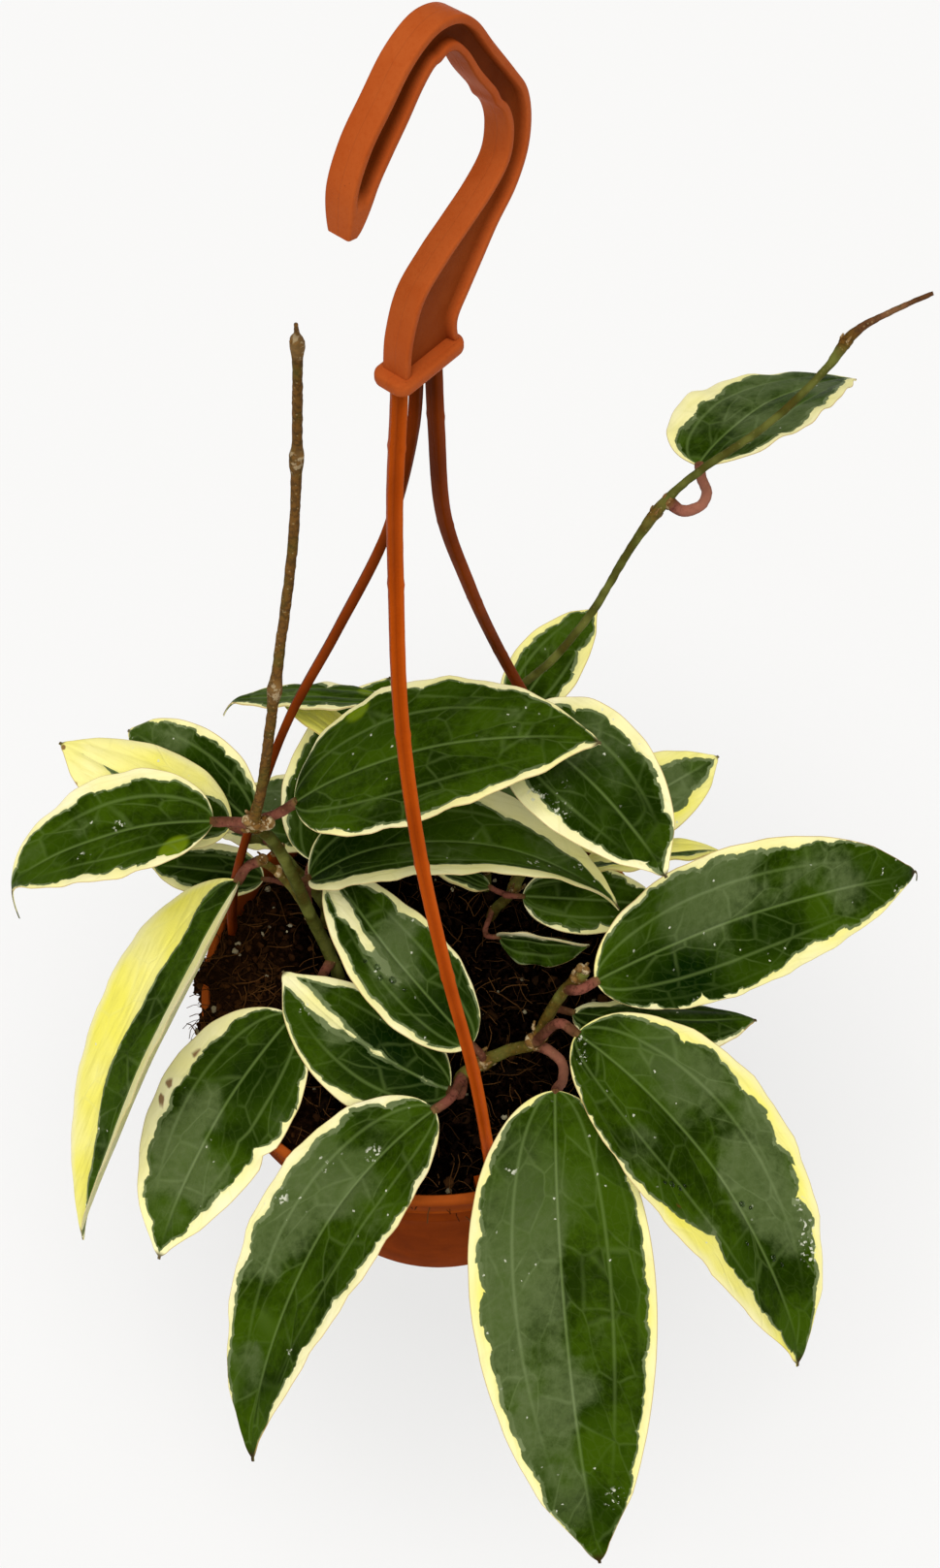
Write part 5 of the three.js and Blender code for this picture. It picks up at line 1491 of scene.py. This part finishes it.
def hook_band(material):
    """The flat band, an upright I in section, whose recess starts short of the tip."""
    outer, inner = spline(HOOK_OUTER, HOOK_STEPS), spline(HOOK_INNER, HOOK_STEPS)
    rings = []
    for i, (o, n) in enumerate(zip(outer, inner)):
        across = (o - n) / np.linalg.norm(o - n)
        tip = max(0.0, 1 - i / TIP_STEPS)
        flare = max(0.0, (i - HOOK_STEPS + FLARE_STEPS) / FLARE_STEPS)
        nubs = sum(math.exp(-(((i - at) / spread) ** 2)) for at, spread in HOOK_NUBS)
        o = o + across * flare ** 2 * 1.7
        n = n + across * (tip ** 1.5 * 0.8 - nubs * 0.4)
        half = HOOK_WIDTH / 2 * (1 - 0.2 * tip ** 2)
        width = np.linalg.norm(o - n)
        depth = HOOK_RECESS * float(np.clip((i - 8) / 3, 0, 1))
        edge = min(HOOK_EDGE, width * 0.26)
        near = [(0.0, half - 0.5), (0.04, half - 0.28), (0.16, half - 0.1), (0.4, half), (edge - 0.3, half),
                (edge - 0.1, half - 0.05 * depth), (edge, half - 0.16 * depth),
                (edge + 0.18, half - 0.82 * depth), (edge + 0.3, half - 0.95 * depth),
                (edge + 0.7, half - depth)]
        section = near + [(width - a, b) for a, b in reversed(near)]
        section += [(a, -b) for a, b in reversed(section)]
        rings.append([(n[0] + across[0] * a, b, n[1] + across[1] * a) for a, b in section])
    count = len(rings[0])
    points = np.array(rings).reshape(-1, 3)
    piece = new_object("hook_band", points, loft_faces(len(rings), count), material)
    # Painted shade: the recess is darkened more the higher it lies on the hook, and the inner face under the
    # crest is darkened as if in shadow.
    sunk = np.clip((HOOK_WIDTH / 2 - 0.4 - np.abs(points[:, 1])) / (HOOK_RECESS - 0.4), 0, 1)
    sunk *= np.interp(points[:, 2], [352, 372, 392, 410], [0.85, 1.0, 1.3, 1.5])
    inner_part = np.array([[0.0] * 4 + [1.0] * (count // 2 - 8) + [0.0] * 4] * (2 * len(rings))).ravel()
    inner_side = np.array([[0.5] * 3 + [0.0] * (count - 6) + [0.5] * 3] * len(rings)).ravel()
    inner_side *= np.interp(points[:, 2], [384, 404, 412], [0.0, 0.8, 1.4])
    give_attribute(piece.data, "hollow", sunk * inner_part * 0.85 + inner_side)
    turn_outwards(piece.data)
    return piece


def collar(shape):
    """The foot of the hook: a rounded block with a raised lip along its lower edge."""
    rings = []
    for rise, grow_by in ((0.6, -1.2), (0.75, -0.6), (1.1, -0.2), (1.7, 0.0), (2.7, 0.0), (3.2, -0.12),
                          (3.5, -0.4), (3.7, -0.9)):
        z = COLLAR_BOTTOM + rise
        ring = []
        x, y, r = COLLAR_LENGTH / 2 - COLLAR_CORNER, COLLAR_WIDTH / 2 - COLLAR_CORNER, COLLAR_CORNER + grow_by
        for k, (cx, cy) in enumerate(((x, y), (-x, y), (-x, -y), (x, -y))):
            for step in range(9):
                angle = math.pi / 2 * (k + step / 8)
                spot = (COLLAR_MIDDLE + cx + r * math.cos(angle), cy + r * math.sin(angle), z)
                ring.append(shape.verts.new(spot))
        rings.append(ring)
    count = len(rings[0])
    for low, high in zip(rings, rings[1:]):
        for j in range(count):
            shape.faces.new((low[j], low[(j + 1) % count], high[(j + 1) % count], high[j]))
    shape.faces.new(rings[0][::-1])
    shape.faces.new(rings[-1])


def sockets(shape):
    for top, _, _ in STRAPS.values():
        block(shape, (SOCKET_WIDTH, SOCKET_WIDTH, 2 * SOCKET_DEPTH), (top, 0, COLLAR_BOTTOM), 0)


def strap_piece(name, material):
    """A thin grooved band from the collar to a barbed foot below its lug."""
    top, foot_angle, middle = STRAPS[name]
    turn = math.radians(foot_angle)
    out = np.array([math.cos(turn), math.sin(turn), 0.0])
    foot = out * FOOT_RADIUS
    path = [(top, 0, COLLAR_BOTTOM + SOCKET_DEPTH - GAP), (top, 0, COLLAR_BOTTOM - 2), *middle,
            (foot[0], foot[1], LUG_TOP + 2), (foot[0], foot[1], FOOT_END)]
    line, along = even_steps(centripetal(path), 1.6)
    tangents = np.gradient(line, axis=0)
    tangents /= np.linalg.norm(tangents, axis=1)[:, None]
    tangents[0] = tangents[-1] = (0, 0, -1)
    side = np.cross(tangents, out)
    side /= np.linalg.norm(side, axis=1)[:, None]
    face = np.cross(tangents, side)
    w, d = STRAP_WIDTH / 2, STRAP_DEPTH / 2
    outline = [(-w, 0.35 - d), (-w + 0.1, 0.1 - d), (-w + 0.35, -d), (-w * 0.42, -d), (-w * 0.22, 0.36 - d),
               (0, 0.5 - d), (w * 0.22, 0.36 - d), (w * 0.42, -d), (w - 0.35, -d), (w - 0.1, 0.1 - d),
               (w, 0.35 - d), (w, d - 0.35), (w - 0.1, d - 0.1), (w - 0.35, d), (-w + 0.35, d),
               (-w + 0.1, d - 0.1), (-w, d - 0.35)]
    random = np.random.default_rng(len(name))
    rings = []
    last = along[-1]
    for i, centre in enumerate(line):
        low = centre[2]
        wide = 1.0
        if low < LUG_BOTTOM - GAP:
            wide = BARB_WIDTH / STRAP_WIDTH - (LUG_BOTTOM - GAP - low) * BARB_SLOPE
        nick = 1 + 0.008 * math.sin(along[i] * 0.9) + random.uniform(-0.006, 0.006)
        if 0.03 < along[i] / last < 0.93 and i % 23 == 11:
            nick += 0.11
        rings.append([centre + side[i] * a * wide * nick + face[i] * b for a, b in outline])
    faces = loft_faces(len(rings), len(outline))
    piece = new_object(name + "_band", np.array(rings).reshape(-1, 3), faces, material, 50)
    # Painted light round each ring: a painted highlight along one edge, painted shade in the groove, on the
    # far edge and over the back face; the value for each strap below paints the left and right straps darker
    # as a whole, as painted shade.
    shade = [-0.25, -0.3, -0.2, -0.05, 0.2, 0.35, 0.3, 0.25, 0.2, 0.0, 0.1, 0.3, 0.3, 0.3, 0.3, 0.3, 0.3]
    whole_strap_shade = {"strap_front": 0.05, "strap_left": 1.0, "strap_right": 0.85}[name]
    give_attribute(piece.data, "hollow", np.tile(shade, len(rings)) + whole_strap_shade)
    turn_outwards(piece.data)
    return piece


class HoyaHangerSettings(bpy.types.PropertyGroup):
    """Colours of the hook and straps"""
    hook: bpy.props.FloatVectorProperty(name="Hook", description="The hook's plastic", subtype="COLOR",
                                        default=tint(178, 86, 38)[:3], min=0, max=1)
    strap: bpy.props.FloatVectorProperty(name="Strap", description="The straps' plastic", subtype="COLOR",
                                         default=tint(176, 74, 10)[:3], min=0, max=1)


class HOYA_OT_hook(bpy.types.Operator):
    """Mould the hook and its collar"""
    bl_idname = "hoya.hook"
    bl_label = "Hook"

    def execute(self, context):
        settings = context.scene.hoya_hanger
        material = plastic_material("hook_plastic", settings.hook, tint(164, 70, 24), 0.38, 0.03, 0.0)
        piece = hook_band(material)
        combine(piece, cutter(collar, "collar"), "UNION")
        combine(piece, cutter(sockets, "sockets"), "DIFFERENCE")
        piece.data.shade_smooth()
        piece.data.set_sharp_from_angle(angle=math.radians(48))
        settle(piece, "hook", slot="hanger_plastic")
        return {"FINISHED"}


class HOYA_OT_straps(bpy.types.Operator):
    """Draw the three straps from the collar to the rim"""
    bl_idname = "hoya.straps"
    bl_label = "Straps"

    def execute(self, context):
        settings = context.scene.hoya_hanger
        material = plastic_material("strap_plastic", settings.strap, tint(158, 62, 4), 0.38, 0.04, 0.0)
        for name in STRAPS:
            settle(strap_piece(name, material), name, slot="hanger_plastic")
        return {"FINISHED"}


# The floor, the lights and the camera

FLOOR_RADIUS = 25000
FLOOR_SIDES = 96
CAMERA_PLACE = (-187.1, -170.8, 578.5)
CAMERA_AIM = (6.78, -8.08, 211.6)


class HoyaStageSettings(bpy.types.PropertyGroup):
    """Floor, lights and camera"""
    floor_drop: bpy.props.FloatProperty(name="Floor drop", description="Floor below the pot's underside",
                                        unit="LENGTH", default=0.5, min=0.0, max=2.0)
    floor_colour: bpy.props.FloatVectorProperty(name="Floor", description="Colour of the floor",
                                                subtype="COLOR", default=(0.86, 0.89, 0.97), min=0, max=1)
    lens: bpy.props.FloatProperty(name="Lens", description="Focal length in millimetres", default=40.59,
                                  min=10, max=200)
    key: bpy.props.FloatProperty(name="Key light", description="Strength of the wide light from above",
                                 default=2.7, min=0, max=20)
    sky: bpy.props.FloatProperty(name="Sky", description="Strength of the even light from all round",
                                 default=0.32, min=0, max=5)


def wide_light(name, direction, spread, strength):
    """A distant light as wide as a softbox overhead; direction points from the object to it."""
    lamp = bpy.data.lights.new(name, "SUN")
    lamp.angle = math.radians(spread)
    lamp.energy = strength
    lamp.color = (1.0, 0.96, 0.87)
    light = bpy.data.objects.new(name, lamp)
    light.rotation_euler = (-Vector(direction)).to_track_quat("-Z", "Y").to_euler()
    bpy.context.scene.collection.objects.link(light)


class HOYA_OT_stage(bpy.types.Operator):
    """Lay the floor, hang the lights and set up the camera"""
    bl_idname = "hoya.stage"
    bl_label = "Stage"

    def execute(self, context):
        settings = context.scene.hoya_stage
        material, g = new_material("pale_floor")
        where = g.object_coordinates()
        shade = g.noise(where, 3.0, 2.0) * 0.03
        colour = g.mix(opaque(settings.floor_colour), (0.8, 0.82, 0.88, 1.0), shade)
        g.surface({"Roughness": 0.9, "Specular IOR Level": 0.1}, {"Base Color": colour})
        turns = np.linspace(0, 2 * np.pi, FLOOR_SIDES, endpoint=False)
        edge = [(FLOOR_RADIUS * math.cos(turn), FLOOR_RADIUS * math.sin(turn), -settings.floor_drop / MM)
                for turn in turns]
        floor = new_object("floor", edge, [tuple(range(FLOOR_SIDES))], material)
        floor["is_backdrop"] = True

        world = bpy.data.worlds.new("soft_sky")
        world.use_nodes = True
        sky = world.node_tree.nodes["Background"]
        sky.inputs["Color"].default_value = (1.0, 0.965, 0.88, 1.0)
        sky.inputs["Strength"].default_value = settings.sky
        context.scene.world = world
        wide_light("key_light", (-0.35, -0.25, 1.0), 42, settings.key)

        lens = bpy.data.cameras.new("camera")
        lens.lens = settings.lens
        lens.sensor_width = 36.0
        camera = bpy.data.objects.new("camera", lens)
        camera.location = place(CAMERA_PLACE)
        aim = Vector(place(CAMERA_AIM))
        camera.rotation_euler = (aim - camera.location).to_track_quat("-Z", "Y").to_euler()
        context.scene.collection.objects.link(camera)
        context.scene.camera = camera
        context.scene.view_settings.view_transform = "Standard"
        return {"FINISHED"}


class HOYA_PT_panel(bpy.types.Panel):
    """The buttons that build the hoya"""
    bl_idname = "HOYA_PT_panel"
    bl_label = "Potted hoya"
    bl_space_type = "VIEW_3D"
    bl_region_type = "UI"
    bl_category = "Hoya"

    def draw(self, context):
        for operator in BUILD_ORDER:
            self.layout.operator(operator.bl_idname)


SETTINGS = {
    "hoya_leaves": HoyaLeafSettings, "hoya_stems": HoyaStemSettings, "hoya_soil": HoyaSoilSettings,
    "hoya_pot": HoyaPotSettings, "hoya_hanger": HoyaHangerSettings, "hoya_stage": HoyaStageSettings,
}
BUILD_ORDER = (HOYA_OT_leaves, HOYA_OT_stems, HOYA_OT_soil, HOYA_OT_pot, HOYA_OT_hook, HOYA_OT_straps,
               HOYA_OT_stage)


def register():
    for settings in SETTINGS.values():
        bpy.utils.register_class(settings)
    for name, settings in SETTINGS.items():
        setattr(bpy.types.Scene, name, bpy.props.PointerProperty(type=settings))
    for operator in BUILD_ORDER:
        bpy.utils.register_class(operator)
    bpy.utils.register_class(HOYA_PT_panel)


def unregister():
    bpy.utils.unregister_class(HOYA_PT_panel)
    for operator in reversed(BUILD_ORDER):
        bpy.utils.unregister_class(operator)
    for name, settings in SETTINGS.items():
        delattr(bpy.types.Scene, name)
        bpy.utils.unregister_class(settings)


def main():
    register()
    bpy.ops.hoya.leaves()
    bpy.ops.hoya.stems()
    bpy.ops.hoya.soil()
    bpy.ops.hoya.pot()
    bpy.ops.hoya.hook()
    bpy.ops.hoya.straps()
    bpy.ops.hoya.stage()
    boxes = {"cad": CAD_BOX, "visual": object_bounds()}
    lists = {name: [list(map(float, corner)) for corner in box] for name, box in boxes.items()}


if __name__ == "__main__":
    main()
